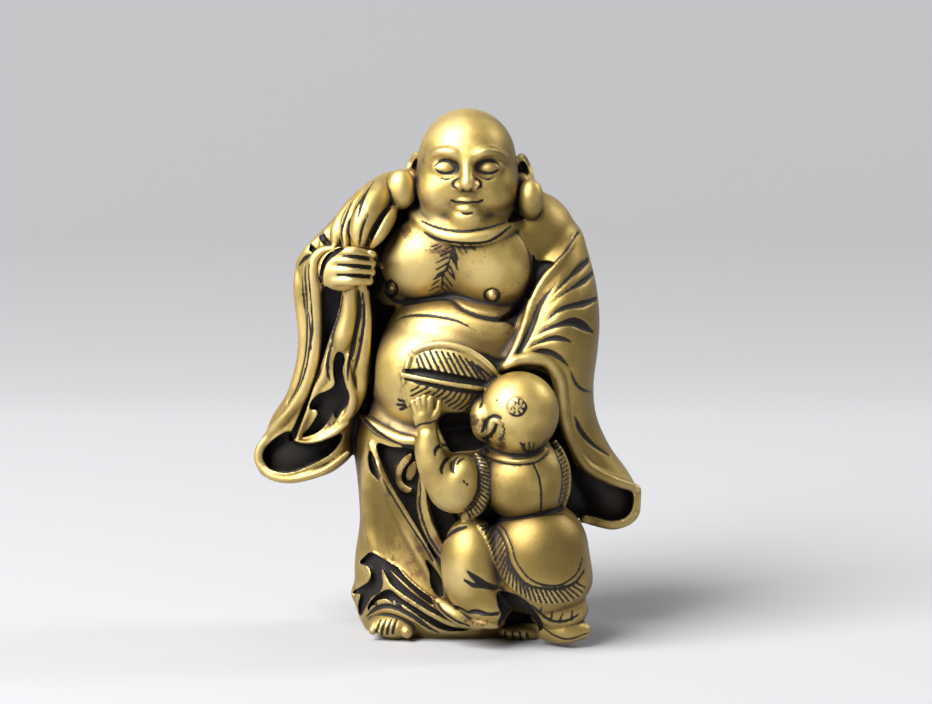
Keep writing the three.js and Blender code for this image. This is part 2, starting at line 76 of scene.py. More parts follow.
def lump(centre, radii, turn=0, blend=0.6, put=join):
    """An egg-shaped mass, turned about the depth axis by an angle in degrees."""
    centre = np.asarray(centre, float)
    margin = max(radii) + 2.0
    where, x, y, z = block(centre - margin, centre + margin)
    x, y, z = x - centre[0], y - centre[1], z - centre[2]
    c, s = math.cos(math.radians(turn)), math.sin(math.radians(turn))
    x, z = c * x - s * z, s * x + c * z
    a, b, d = radii
    share = np.sqrt((x / a) ** 2 + (y / b) ** 2 + (z / d) ** 2)
    slope = np.sqrt((x / a**2) ** 2 + (y / b**2) ** 2 + (z / d**2) ** 2)
    put(where, (share + 1e-5) / (slope + 1e-5 / min(radii)) * (share - 1), blend)


lump((2.5, 0, 71), (15, 11, 12), blend=0)
lump((-4.4, -5, 71), (8.7, 7.8, 7.8), blend=1.6)
lump((7.8, -5, 69.8), (9.6, 8.8, 9.2), blend=1.6)
lump((1.8, -5.4, 73.6), (9.5, 7.4, 6.0), blend=4)
lump((14.5, -0.8, 74.3), (9.0, 8.7, 9), blend=2)
lump((3.2, -4.2, 58.3), (14.2, 10.6, 7.2), blend=0.8)
lump((-1.2, -4.6, 49.8), (14, 13.6, 12.2), blend=1.0)
lump((6, -3, 50), (11, 12, 11), blend=3)

# ROBE, SLEEVES AND THE SACK ON THE BACK
# Heavy cloth that hangs from the shoulders to the ground, with wide sleeves, and the full sack behind the
# left shoulder. Each is a stack of oval levels, with soft folds laid down the back.
def smooth(points, step, closed=False):
    """Closely spaced points on the smooth curve through the points given; further columns go along."""
    p = np.asarray(points, float)
    q = np.vstack([p[-1], p, p[:2]] if closed else [2 * p[0] - p[1], p, 2 * p[-1] - p[-2]])
    rows = []
    for a, b, c, d in zip(q[:-3], q[1:-2], q[2:-1], q[3:]):
        n = max(1, math.ceil(np.linalg.norm((c - b)[:3]) / step))
        t = (np.arange(n) / n)[:, None]
        bend, twist = 2 * a - 5 * b + 4 * c - d, 3 * b - a - 3 * c + d
        rows.append(b + (c - a) * t / 2 + bend * t**2 / 2 + twist * t**3 / 2)
    return np.vstack(rows if closed else [*rows, p[-1:]])


def cloth(levels, folds=None, blend=0.8):
    """A hanging mass. A level is its height, middle x, middle y, half width and half depth."""
    rings = smooth(levels, 0.5)
    height, middle_x, middle_y, half_width, half_depth = rings.T
    low = [(middle_x - half_width).min() - 2, (middle_y - half_depth).min() - 2, height[0] - 0.5]
    high = [(middle_x + half_width).max() + 2, (middle_y + half_depth).max() + 2, height[-1] + 0.5]
    where, x, y, z = block(low, high)
    cx, cy, w, d = (np.interp(z.ravel(), height, column).reshape(z.shape) for column in rings.T[1:])
    x, y = x - cx, y - cy
    share = np.sqrt((x / w) ** 2 + (y / d) ** 2)
    slope = np.sqrt((x / w**2) ** 2 + (y / d**2) ** 2)
    distance = (share + 1e-5) / (slope + 1e-5 / np.minimum(w, d)) * (share - 1)
    if folds:
        distance = distance - folds(np.arctan2(y / d, x / w), z)
    join(where, np.maximum(distance, np.maximum(height[0] - z, z - height[-1])), blend)


def tube(line, flat, blend, put):
    """A round-ended bar along closely spaced rows of x, y, z and radius; flat is its share of depth."""
    margin = line[:, 3].max() + 1.5
    where, x, y, z = block(line[:, :3].min(0) - margin, line[:, :3].max(0) + margin)
    whole = np.full((x.size, y.size, z.size), 3.0, np.float32)
    for a, b in zip(line[:-1], line[1:]):
        margin = max(a[3], b[3]) + 1.5
        inner, x, y, z = block(np.minimum(a, b)[:3] - margin, np.maximum(a, b)[:3] + margin)
        part = tuple(slice(i.start - w.start, i.stop - w.start) for i, w in zip(inner, where))
        step = b - a
        x, y, z = x - a[0], y - a[1], z - a[2]
        t = np.clip((x * step[0] + y * step[1] + z * step[2]) / (step[:3] @ step[:3] + 1e-9), 0, 1)
        off = (x - t * step[0]) ** 2 + ((y - t * step[1]) / flat) ** 2 + (z - t * step[2]) ** 2
        whole[part] = np.minimum(whole[part], np.sqrt(off) - (a[3] + t * step[3]))
    put(where, whole, blend)


def scoop(where, distance, blend):
    """Takes wax away with a round tool."""
    wax[where] = -merged(-wax[where], distance.astype(np.float32), blend)


def cut(where, distance, blend):
    """Cuts wax away where the black patina will stay in the hollow."""
    scoop(where, distance, blend)
    black[where] = np.maximum(black[where], np.clip(0.9 - distance / 0.22, 0, 1))


def roll(points, radii, flat=1.0, blend=0.4, put=join):
    """A rolled form of wax along a smooth curve, with its radius at each point."""
    p = np.asarray(points, float)
    tube(smooth(np.column_stack([p, np.broadcast_to(radii, len(p))]), 0.6), flat, blend, put)


levels = [
    (-1.2, 1, 1.2, 16.4, 9.0),
    (0.6, 1, 0.6, 17.4, 10.0),
    (3.4, 1, -0.2, 18.4, 12.2),
    (9, 1, -0.3, 18.9, 12.6),
    (14, 1, 0, 18.9, 12.4),
    (21, 1, 0, 18.0, 12.3),
    (29, 1, -0.6, 18.4, 13.2),
    (37, 0.5, -0.6, 18.8, 14.2),
    (43, 0.2, 0.6, 18.0, 13.0),
    (50, 0, 2.6, 17.4, 11.2),
    (60, 0, 3.5, 17.4, 10.6),
    (71, 0, 3, 16.8, 10.0),
    (79, 1, 1.5, 13.5, 8.6),
    (85, 2, 0.5, 6.0, 5.0),
]
cloth(levels, lambda angle, z: 0.7 * np.cos(9 * angle + z / 14) * np.maximum(0, np.sin(angle)), blend=0.8)
lump((-4.5, 11.5, 60), (14.5, 9.5, 18.5), 12, blend=1.5)
for neck in (
    ((-1.0, 18.0, 72), (-4.0, 14.6, 77.5), (-9.0, 6.0, 85.0)),
    ((-5.5, 17.6, 72.5), (-8.0, 13.4, 78.0), (-11.5, 5.0, 84.5)),
    ((-9.5, 16.6, 71.0), (-11.5, 11.8, 77.0), (-14.0, 4.0, 82.5)),
):
    roll(neck, (0.6, 1.7, 1.6), blend=0.8)
for crease in (
    ((-3.2, 18.6, 74.5), (-4.6, 20.6, 67.0), (-5.0, 21.3, 59.0)),
    ((-7.4, 17.6, 74.0), (-9.4, 19.0, 66.5), (-10.6, 19.0, 60.0)),
    ((1.2, 18.2, 72.0), (1.4, 19.8, 65.5), (0.8, 20.6, 58.0)),
):
    roll(crease, (0.2, 0.4, 0.15), put=cut)
for top, foot in ((-11.5, -13.5), (-5.0, -7.0), (3.5, 1.5), (9.5, 8.5), (14.0, 14.5)):
    fall = []
    for z, depth in ((42, 13.0), (32, 13.2), (22, 12.3), (12, 12.3), (3, 11.8)):
        x = top + (foot - top) * (44 - z) / 42
        fall.append((x, depth * math.sqrt(1 - (x / 18.4) ** 2) - 0.1, z))
    roll(fall, (0.3, 0.9, 1.1, 1.2, 1.0), blend=1.4)
levels = [
    (29.2, -30.0, -2, 4.0, 4.0),
    (30.6, -28.8, -2, 7.0, 5.4),
    (33.8, -27.2, -2, 9.0, 6.6),
    (37.4, -26.2, -2, 8.4, 6.8),
    (41, -25.0, -2, 8.2, 6.6),
    (46, -23.4, -2, 6.8, 6.4),
    (54, -22.2, -2.2, 6.0, 6.4),
    (62, -21.9, -2.6, 6.2, 7.0),
    (68, -21.6, -3.0, 7.2, 8.2),
    (72, -20.0, -3.0, 7.4, 8.6),
    (76, -17.4, -2.4, 6.2, 8.2),
    (80, -14.6, -1.4, 5.2, 7.2),
    (84, -12.0, -0.8, 4.0, 5.6),
    (85.8, -10.9, -0.7, 2.4, 3.7),
    (86.7, -10.5, -0.6, 0.5, 0.9),
]
cloth(levels, blend=0.8)
roll((
    (-20.0, 5.0, 70), (-21.5, 4.5, 60), (-22.5, 4.3, 50), (-25.0, 4.5, 40), (-28.5, 3.6, 32),
), (0.4, 0.9, 1.0, 1.0, 0.5), blend=1.2)
roll((
    (-17.4, 4.2, 66), (-18.6, 3.7, 56), (-19.6, 3.7, 47), (-21.5, 4.0, 38),
), (0.3, 0.7, 0.8, 0.4), blend=1.2)
levels = [
    (20.9, 30.6, -2.6, 3.0, 3.4),
    (22.6, 29.8, -2.8, 4.9, 5.0),
    (26.8, 29.2, -3, 5.8, 6.2),
    (30.5, 27.0, -3, 6.4, 6.6),
    (35.4, 24.4, -3, 5.5, 6.8),
    (41, 22.4, -3, 5.0, 7.2),
    (47, 21.0, -4, 5.7, 8.6),
    (54, 19.6, -5.0, 7.8, 10.0),
    (60, 19.6, -4.8, 8.1, 9.8),
    (66, 19.8, -3.8, 7.3, 8.6),
    (72, 19.8, -2.0, 5.8, 7.4),
    (76, 20.2, -0.6, 4.0, 5.6),
    (79, 19.4, 0.4, 1.6, 3.4),
]
cloth(levels, blend=0.8)
roll((
    (18.5, 4.2, 66), (19.5, 4.8, 56), (21.0, 4.4, 46), (24.0, 3.6, 36), (28.0, 3.0, 28),
), (0.4, 0.9, 1.0, 0.9, 0.5), blend=1.2)
roll(((22.8, 3.6, 64), (23.6, 3.9, 55), (23.9, 3.4, 46), (26.8, 2.6, 36)), (0.3, 0.8, 0.8, 0.4), blend=1.2)
roll(((21, -6, 58), (16, -10.5, 55.5), (11.6, -14.6, 53)), (5.6, 4.4, 1.8), blend=1.5)
roll(((20, -5, 31), (23, -4, 25.2), (27.5, -3.5, 24.6)), (3.6, 3.6, 3.4), blend=1.0)

# HEAD AND EARS
# A round bald head with a calm, even face and closed eyes, and ears with long full lobes. Lines on a form
# are drawn in the front view, in millimetres right and up, and chased where the sight line meets it.
eye_distance = 600.0
look_down = math.radians(8)
view_middle = np.array([3.0, 0.0, 52.8])
ahead = np.array([0, math.cos(look_down), -math.sin(look_down)])
upward = np.array([0, math.sin(look_down), math.cos(look_down)])
eye = view_middle - eye_distance * ahead


def read(places, field):
    """The field's value at places in space, between its grains."""
    p = (places - corner) / grain
    i = np.clip(np.floor(p).astype(int), 0, np.array(field.shape) - 2)
    f = np.clip(p - i, 0, 1)
    total = 0
    for a, b, c in np.ndindex(2, 2, 2):
        weight = abs(1 - a - f[..., 0]) * abs(1 - b - f[..., 1]) * abs(1 - c - f[..., 2])
        total = total + weight * field[i[..., 0] + a, i[..., 1] + b, i[..., 2] + c]
    return total


def ray(spots):
    """The directions from the eye through spots of the front view, each one millimetre deep."""
    spots = np.asarray(spots, float)
    right, rise = spots[..., 0] - view_middle[0], spots[..., 1] - view_middle[2]
    aim = view_middle + np.stack([right, rise * upward[1], rise * upward[2]], -1) - eye
    return aim / aim[..., 1:2]


def seen(spots):
    """The place on the wax that shows at each spot of the front view, or nan beside the figure."""
    direction = ray(spots)
    depth = np.full(direction.shape[:-1], corner[1] + 0.5)
    back = corner[1] + block_size[1] - 0.5
    for _ in range(70):
        gap = read(eye + direction * (depth - eye[1])[..., None], wax)
        depth = np.minimum(depth + np.where(np.abs(gap) > 0.01, np.clip(gap * 0.75, -0.3, 2.0), 0), back)
    found = eye + direction * (depth - eye[1])[..., None]
    found[(depth > back - 0.1) | (np.abs(read(found, wax)) > 0.3)] = np.nan
    return found


def at(spot, depth):
    """The point at a depth that shows at a spot of the front view."""
    return eye + ray(spot) * (depth - eye[1])


def traced(spots, radii, lift):
    """Rows of x, y, z and radius over the wax, lifted towards the eye."""
    spots = np.asarray(spots, float)
    path = smooth(np.column_stack([spots, np.broadcast_to(radii, len(spots))]), 0.4)
    found = seen(path[:, :2])
    kept = ~np.isnan(found[:, 0])
    found, path = found[kept], path[kept]
    if len(found) > 6:
        depth = found[:, 1]
        steady = np.median([np.roll(depth, k) for k in (-2, -1, 0, 1, 2)], 0)[2:-2]
        found[2:-2] += ray(path[2:-2, :2]) * (steady - depth[2:-2])[:, None]
    return np.column_stack([found - ahead * lift, path[:, 2]])


def chase(spots, radii, lift=0.0, blend=0.1):
    """A line chased into the surface."""
    tube(traced(spots, radii, lift), 1.0, blend, cut)


lump((3.2, -4.5, 89.3), (8.95, 10.0, 9.3), blend=0.3)
lump((3.2, -5.4, 84.0), (9.2, 8.6, 7.4), blend=3.2)
roll((
    (-4.3, -7.6, 79.6), (-1.2, -10.8, 77.6), (3.2, -12.2, 77.0), (7.6, -10.8, 77.6), (10.7, -7.6, 79.6),
), (1.2, 1.6, 1.8, 1.6, 1.2), blend=1.4)
lump((3.2, -12.1, 79.5), (2.8, 2.5, 1.8), blend=1.8)


def both(*points):
    """The same points to the left and to the right of the face's middle line."""
    return [[(3.2 + side * x, *rest) for x, *rest in points] for side in (-1, 1)]


for (middle,) in both((5.0, -9.7, 83.9)):
    lump(middle, (3.5, 3.8, 3.3), blend=2.6)
for (middle,) in both((3.9, -15.2, 88.6)):
    lump(middle, (3.0, 2.3, 1.8), blend=1.4, put=scoop)
for (middle,) in both((3.9, -11.7, 88.1)):
    lump(middle, (2.6, 2.0, 1.6), blend=0.7)
for path in both((1.2, -13.9, 90.5), (3.0, -13.9, 91.3), (5.1, -12.8, 91.2), (7.1, -10.5, 89.9)):
    roll(path, (0.45, 0.7, 0.65, 0.25), blend=1.0)
roll(((3.2, -13.3, 90.6), (3.2, -14.3, 88.6), (3.2, -15.3, 86.5)), (0.75, 0.85, 1.05), blend=1.3)
lump((3.2, -15.2, 85.6), (1.35, 1.45, 1.15), blend=0.7)
for (middle,) in both((1.5, -14.3, 85.2)):
    lump(middle, (0.95, 1.25, 0.9), blend=0.4)
for (middle,) in both((0.7, -15.4, 84.4)):
    lump(middle, (0.38, 0.6, 0.36), blend=0.15, put=cut)
roll((
    (0.6, -12.9, 82.1), (1.9, -13.7, 82.5), (3.2, -14.0, 82.35), (4.5, -13.7, 82.5), (5.8, -12.9, 82.1),
), (0.25, 0.6, 0.62, 0.6, 0.25), blend=0.35)
roll((
    (1.0, -12.9, 81.3), (2.2, -13.6, 80.95), (3.2, -13.8, 80.85), (4.2, -13.6, 80.95), (5.4, -12.9, 81.3),
), (0.3, 0.72, 0.8, 0.72, 0.3), blend=0.35)
for path in both((2.0, 86.9), (2.9, 86.35), (4.0, 86.15), (5.1, 86.4), (6.1, 87.05)):
    chase(path, (0.12, 0.22, 0.24, 0.22, 0.1), -0.02)
for path in both((1.9, 87.7), (2.9, 88.35), (4.1, 88.6), (5.3, 88.3), (6.3, 87.5)):
    chase(path, (0.1, 0.2, 0.22, 0.2, 0.1), -0.02)
for path in both((2.6, 85.5), (3.9, 85.1), (5.3, 85.5)):
    chase(path, (0.05, 0.16, 0.05), 0.0, 0.3)
for path in both((1.5, 85.3), (2.5, 84.7), (2.6, 83.8), (1.9, 83.2)):
    chase(path, (0.1, 0.22, 0.26, 0.15), 0.0, 0.2)
chase([
    (0.3, 81.15), (1.2, 80.75), (2.2, 80.8), (3.2, 80.6), (4.2, 80.8), (5.2, 80.75), (6.1, 81.15),
], (0.2, 0.2, 0.2, 0.22, 0.2, 0.2, 0.2))
chase([(1.9, 78.85), (3.2, 78.6), (4.5, 78.85)], (0.1, 0.24, 0.1), 0.0, 0.4)


def cord(rows, radii, flat=1.0, blend=0.4):
    """A rolled form of wax whose points are spots of the front view, each with its depth."""
    roll([at((right, up), depth) for right, up, depth in rows], radii, flat, blend)


for middle, hollowed, turn in (((-6.1, 87.4), (-6.4, 87.0), 14), ((13.6, 86.8), (13.7, 86.5), -14)):
    lump(at(middle, -2.9), (1.2, 2.2, 2.7), turn, blend=0.3)
    lump(at(hollowed, -4.2), (1.0, 1.6, 2.1), turn, blend=0.2, put=cut)
for rim in (
    (
        (-5.4, 88.5, -4.6), (-6.0, 89.6, -3.6), (-6.6, 89.4, -1.6), (-7.2, 88.1, -0.6), (-7.7, 86.6, -1.4),
        (-8.2, 85.3, -3.4), (-8.8, 84.0, -6.0),
    ),
    (
        (12.6, 88.1, -4.6), (13.1, 89.2, -3.6), (13.7, 89.1, -1.6), (14.4, 87.6, -0.6), (14.9, 85.9, -1.4),
        (15.0, 84.4, -3.4), (15.0, 83.1, -6.0),
    ),
):
    cord(rim, (0.35, 0.6, 0.65, 0.7, 0.75, 1.0, 1.5), blend=0.25)
for middle in ((-6.9, 84.8), (13.2, 84.2)):
    lump(at(middle, -3.8), (1.7, 1.8, 2.2), blend=0.6)
for middle, across in (((-9.1, 83.2), 2.8), ((15.1, 81.4), 2.4)):
    lump(at(middle, -8.2), (across, 2.5, 3.7), blend=0.3)

# NECK OF THE SACK
# The cloth of the sack is gathered in cords that come over the left shoulder into the fist. Each is a roll
# of wax laid over the shoulder, with creases chased between them.
cord((
    (-17.2, 72.6, -13.0), (-16.7, 75.7, -13.0), (-15.4, 78.9, -11.8), (-13.6, 81.6, -9.4),
    (-11.8, 84.3, -5.0),
), (1.2, 2.0, 2.5, 2.5, 2.0), blend=0.35)
cord((
    (-14.6, 72.6, -12.4), (-13.4, 74.9, -12.2), (-11.8, 77.7, -10.6), (-10.3, 80.2, -8.6),
), (0.6, 1.5, 1.6, 0.8), blend=0.25)
cord((
    (-19.4, 72.8, -12.2), (-19.5, 75.3, -11.6), (-18.2, 78.7, -10.4), (-15.9, 82.0, -8.4),
    (-13.3, 84.2, -5.8),
), (0.7, 1.1, 1.4, 1.3, 1.2), blend=0.4)
cord((
    (-21.3, 73.0, -10.6), (-20.7, 75.7, -9.8), (-18.9, 79.1, -7.8), (-15.9, 82.7, -5.0),
), (0.9, 1.5, 1.5, 1.1), blend=0.5)
cord(((-23.6, 72.6, -9.2), (-22.6, 74.5, -8.0), (-20.4, 77.3, -5.6)), (0.9, 1.4, 1.2), blend=0.5)
cord(((-27.9, 69.4, -5.6), (-26.2, 71.4, -7.2), (-24.0, 73.5, -7.4)), (0.9, 1.2, 1.2), blend=0.4)
chase([(-17.2, 77.9), (-16.6, 80.6), (-15.5, 83.0), (-14.2, 84.8)], (0.12, 0.3, 0.3, 0.15), 0.0, 0.3)
chase([
    (-18.4, 73.2), (-18.9, 75.7), (-18.1, 78.9), (-16.5, 81.8), (-14.8, 84.0),
], (0.2, 0.3, 0.35, 0.3, 0.15), 0.1, 0.3)
chase([(-20.1, 73.0), (-20.5, 75.1), (-19.8, 77.7), (-18.5, 80.8)], (0.2, 0.35, 0.35, 0.15), 0.1, 0.3)
chase([(-22.6, 72.8), (-23.2, 73.4), (-24.1, 74.2)], (0.3, 0.5, 0.15), 0.1, 0.2)
chase([(-24.4, 71.8), (-25.6, 72.0), (-26.2, 73.0)], (0.2, 0.4, 0.15), 0.1, 0.2)
chase([(-25.6, 71.2), (-27.1, 70.3), (-28.3, 69.0)], (0.15, 0.35, 0.2), 0.1, 0.2)
chase([(-16.9, 72.8), (-16.4, 75.8), (-15.2, 78.6)], (0.15, 0.25, 0.1), 0.05, 0.3)
chase([(-15.4, 73.0), (-14.2, 75.7), (-12.6, 78.4), (-11.3, 79.8)], (0.4, 0.6, 0.5, 0.3), 0.1, 0.2)

# MOUTH OF THE SACK
# The loose end of the sack's cloth hangs below the fist in broad folds round a dark opening. The folds are
# rolls and beads of wax, and the opening is sunk with a flat-ended tool.
def fold(spots, radii, lift, blend):
    """A raised fold or bead on the surface."""
    tube(traced(spots, radii, lift), 1.0, blend, join)


def shaped(outline, near, far, smoothed=True):
    """The grains behind a closed outline, with the distances to its edge and below the surface."""
    points = np.asarray(outline, float)
    if smoothed:
        points = smooth(points, 0.4, closed=True)
    pitch = 0.3
    low, high = points.min(0) - 1, points.max(0) + 1
    across, rise = np.arange(low[0], high[0] + pitch, pitch), np.arange(low[1], high[1] + pitch, pitch)
    u, v = np.meshgrid(across, rise, indexing="ij")
    edge = np.full(u.shape, 1e9)
    inside = np.zeros(u.shape, bool)
    for (ax, ay), (bx, by) in zip(points, np.roll(points, -1, 0)):
        ex, ey = bx - ax, by - ay
        t = np.clip(((u - ax) * ex + (v - ay) * ey) / (ex * ex + ey * ey + 1e-12), 0, 1)
        edge = np.minimum(edge, (u - ax - t * ex) ** 2 + (v - ay - t * ey) ** 2)
        inside ^= ((ay <= v) != (by <= v)) & (u < ax + (v - ay) * ex / (ey or 1e-12))
    edge = np.where(inside, -1, 1) * np.sqrt(edge)
    surface = seen(np.stack([u, v], -1))[..., 1]
    deepest = np.nanmax(np.where(edge < 0.3, surface, np.nan))
    nearest = np.nanmin(np.where(edge < 0.3, surface, np.nan))
    surface = np.where(np.isnan(surface), deepest, surface)
    y0, y1 = nearest - near - 0.5, deepest + far + 0.5
    slant = math.tan(look_down)
    drops = (-slant * y0, -slant * y1)
    toward = lambda side: view_middle[0] + (side - view_middle[0]) * 0.94
    where, x, y, z = block(
        [min(low[0], toward(low[0])) - 0.5, y0, low[1] + min(drops) - 3],
        [max(high[0], toward(high[0])) + 0.5, y1, high[1] + max(drops) + 3],
    )
    x, y, z = x - eye[0], y - eye[1], z - eye[2]
    away = y * ahead[1] + z * ahead[2]
    u = view_middle[0] + eye_distance * x / away
    v = view_middle[2] + eye_distance * (y * upward[1] + z * upward[2]) / away
    i = np.clip((u - across[0]) / pitch, 0, len(across) - 1.001)
    j = np.clip((v - rise[0]) / pitch, 0, len(rise) - 1.001)
    i0, j0 = i.astype(int), j.astype(int)
    fi, fj = i - i0, j - j0
    between = lambda m: (m[i0, j0] * (1 - fi) + m[i0 + 1, j0] * fi) * (1 - fj) + (
        m[i0, j0 + 1] * (1 - fi) + m[i0 + 1, j0 + 1] * fi
    ) * fj
    return where, between(edge), y + eye[1] - between(surface)


def hollow(outline, depth, blend):
    """A hollow sunk behind an outline."""
    where, edge, behind = shaped(outline, 1.5, depth)
    cut(where, np.maximum(edge, behind - depth), blend)


cord((
    (-18.2, 64.9, -9.8), (-18.0, 60.2, -9.4), (-19.1, 54.6, -8.8), (-20.2, 47.6, -8.0), (-22.0, 42.9, -7.6),
    (-24.1, 39.4, -7.2),
), (2.7, 3.0, 3.9, 4.3, 4.2, 3.4), 0.5, blend=0.6)
hollow([
    (-23.9, 64.6), (-20.3, 64.6), (-21.0, 60.2), (-22.8, 54.6), (-24.3, 49.9), (-25.6, 45.7), (-27.0, 41.3),
    (-28.0, 38.2), (-29.1, 36.3), (-30.0, 36.9), (-28.7, 39.6), (-27.1, 43.8), (-25.8, 47.6), (-24.9, 51.3),
    (-24.4, 55.5), (-24.3, 60.2),
], 3.0, 0.2)
cord((
    (-18.8, 64.6, -11.0), (-18.9, 60.2, -10.8), (-19.9, 55.5, -10.4), (-20.6, 52.9, -9.6),
), (1.4, 1.5, 1.8, 1.2), blend=0.5)
cord((
    (-15.8, 63.9, -9.8), (-15.6, 59.2, -9.8), (-15.9, 54.6, -9.5), (-16.4, 49.4, -9.0), (-16.9, 45.7, -8.6),
    (-18.5, 42.0, -8.2), (-21.5, 38.5, -7.6),
), (0.7, 1.0, 1.2, 1.4, 1.4, 1.2, 0.7), blend=0.5)
fold([
    (-22.1, 54.6), (-22.8, 51.3), (-23.5, 48.3), (-24.9, 45.7), (-26.3, 42.0), (-27.6, 38.7), (-28.6, 36.0),
], (0.3, 0.7, 0.8, 0.7, 0.5, 0.5, 0.4), 0.1, 0.4)
fold([
    (-18.9, 52.2), (-19.1, 49.4), (-18.7, 46.6), (-18.1, 44.3), (-18.7, 41.7), (-20.3, 39.7), (-22.4, 37.9),
    (-25.2, 36.5), (-28.0, 35.9),
], (0.4, 0.6, 0.8, 0.9, 0.9, 0.8, 0.7, 0.6, 0.3), 0.1, 0.4)
chase([
    (-20.0, 63.4), (-20.6, 60.2), (-21.8, 56.0), (-22.7, 52.2), (-22.8, 49.4), (-22.5, 47.3),
], (0.12, 0.28, 0.35, 0.35, 0.3, 0.12), 0.1, 0.1)
chase([
    (-17.0, 64.2), (-16.9, 60.2), (-17.7, 56.0), (-18.4, 52.2), (-19.1, 49.0), (-19.2, 46.7),
], (0.2, 0.38, 0.4, 0.4, 0.3, 0.12), 0.1, 0.1)
chase([
    (-16.3, 63.9), (-16.0, 60.2), (-16.4, 56.0), (-17.3, 51.3), (-18.2, 48.0),
], (0.1, 0.2, 0.22, 0.2, 0.1), 0.0, 0.1)
hollow([
    (-20.8, 52.8), (-21.5, 51.8), (-21.8, 49.4), (-21.5, 46.7), (-22.9, 45.5), (-24.5, 44.9), (-25.9, 43.5),
    (-26.2, 42.2), (-25.0, 42.0), (-24.7, 41.1), (-26.1, 38.8), (-27.6, 37.0), (-25.2, 37.6), (-23.7, 38.7),
    (-22.4, 40.5), (-21.7, 41.5), (-21.2, 40.3), (-20.3, 41.7), (-19.2, 42.9), (-18.9, 44.8), (-19.6, 46.7),
    (-20.1, 49.4), (-19.7, 51.3), (-20.0, 52.4),
], 2.6, 0.15)
fold([
    (-28.9, 36.2), (-26.8, 35.8), (-24.4, 36.2), (-21.6, 37.7), (-18.9, 39.9),
], (0.4, 0.5, 0.6, 0.6, 0.4), 0.1, 0.2)
hollow([
    (-14.2, 62.9), (-12.2, 61.6), (-10.2, 61.1), (-11.6, 58.4), (-13.1, 54.9), (-13.9, 50.9), (-14.2, 46.2),
    (-14.9, 42.3), (-15.7, 40.9), (-15.3, 45.4), (-14.6, 50.9), (-14.1, 55.7), (-14.1, 59.6),
], 3.0, 0.3)

# HAND
# A closed left fist that holds the sack. The back of the hand is one mass, the four fingers are rolls laid
# over it, and the shadows round it are sunk.
lump(at((-20.4, 68.2), -12.8), (4.2, 2.6, 3.9), 6, blend=0.3)
for knuckle, middle, tip in (
    ((-20.9, 71.4), (-18.1, 71.5), (-14.9, 70.9)),
    ((-21.6, 69.8), (-18.5, 69.9), (-14.6, 69.3)),
    ((-21.8, 68.0), (-18.5, 68.1), (-14.7, 67.7)),
    ((-21.6, 66.2), (-18.5, 66.2), (-15.1, 66.1)),
):
    roll((at(knuckle, -14.2), at(middle, -15.5), at(tip, -13.4)), (1.0, 0.98, 0.8), blend=0.3)
for slit in (
    [(-20.1, 70.7), (-17.7, 70.6), (-15.1, 70.2)],
    [(-21.2, 69.1), (-18.1, 68.9), (-14.9, 68.6)],
    [(-21.3, 67.2), (-18.1, 67.1), (-15.0, 66.9)],
):
    chase(slit, (0.15, 0.3, 0.35), 0.1, 0.15)
fold([(-14.9, 71.5), (-13.8, 70.5), (-12.7, 68.7)], (0.4, 0.7, 0.4), 0.3, 0.2)
hollow([
    (-19.6, 72.4), (-21.6, 71.8), (-23.3, 70.5), (-24.1, 68.4), (-24.2, 66.2), (-23.6, 64.7), (-23.8, 66.9),
    (-23.4, 68.7), (-22.5, 70.1), (-21.0, 71.2),
], 1.1, 0.2)
hollow([(-24.4, 74.3), (-23.6, 74.9), (-23.0, 74.0), (-22.0, 72.6), (-22.9, 72.5), (-23.8, 73.2)], 1.2, 0.2)
hollow([(-26.3, 72.0), (-25.8, 72.7), (-25.2, 72.0), (-25.5, 71.4)], 1.0, 0.2)

# EDGE AND CUFF OF THE LEFT SLEEVE
# The robe's rolled edge runs down from the wrist and turns into the rim of the wide cuff. The edge and the
# rim are beads of wax, and the inside of the sleeve is sunk and left black.
fold([
    (-28.5, 67.8), (-28.0, 64.3), (-27.3, 59.6), (-26.9, 55.3), (-27.3, 50.9), (-28.3, 47.0), (-30.2, 43.1),
], (0.6, 1.3, 1.5, 1.5, 1.5, 1.4, 0.8), -0.6, 0.6)
fold([
    (-21.7, 72.2), (-23.8, 71.6), (-25.3, 69.9), (-25.6, 67.3), (-25.3, 63.5), (-25.2, 58.8), (-25.3, 54.1),
    (-26.0, 49.8), (-27.3, 45.6), (-29.8, 41.7), (-33.1, 38.2), (-34.9, 36.0),
], (0.5, 0.9, 1.1, 1.2, 1.25, 1.3, 1.3, 1.3, 1.2, 1.1, 0.9, 0.6), 0.2, 0.4)
chase([
    (-27.1, 69.0), (-27.1, 66.7), (-26.7, 61.9), (-26.2, 56.4), (-26.4, 53.3), (-27.1, 49.4), (-28.5, 45.8),
    (-30.3, 43.1),
], (0.1, 0.2, 0.22, 0.22, 0.22, 0.22, 0.2, 0.1), 0.05)
chase([
    (-26.3, 69.8), (-26.4, 66.7), (-26.0, 61.9), (-25.7, 57.2), (-25.9, 53.3),
], (0.08, 0.14, 0.14, 0.14, 0.08))
chase([(-27.7, 67.3), (-27.4, 63.5), (-26.9, 58.8)], (0.08, 0.14, 0.08))
hollow([
    (-34.9, 34.2), (-33.0, 36.4), (-30.1, 37.9), (-29.0, 36.1), (-26.8, 35.6), (-24.2, 36.0), (-20.7, 37.4),
    (-20.2, 37.0), (-21.7, 34.4), (-24.4, 32.5), (-29.5, 30.4), (-33.2, 30.7), (-34.8, 32.3),
], 4.0, 0.3)
roll((
    (-33.0, -5.4, 38.4), (-35.2, -5.0, 35.8), (-35.6, -5.0, 33.0), (-33.6, -5.8, 30.6), (-30.2, -6.8, 29.9),
    (-26.4, -7.6, 30.6), (-22.6, -7.8, 32.1), (-19.0, -6.6, 34.8),
), (0.5, 0.75, 0.8, 0.8, 0.8, 0.8, 0.75, 0.5), blend=0.4)

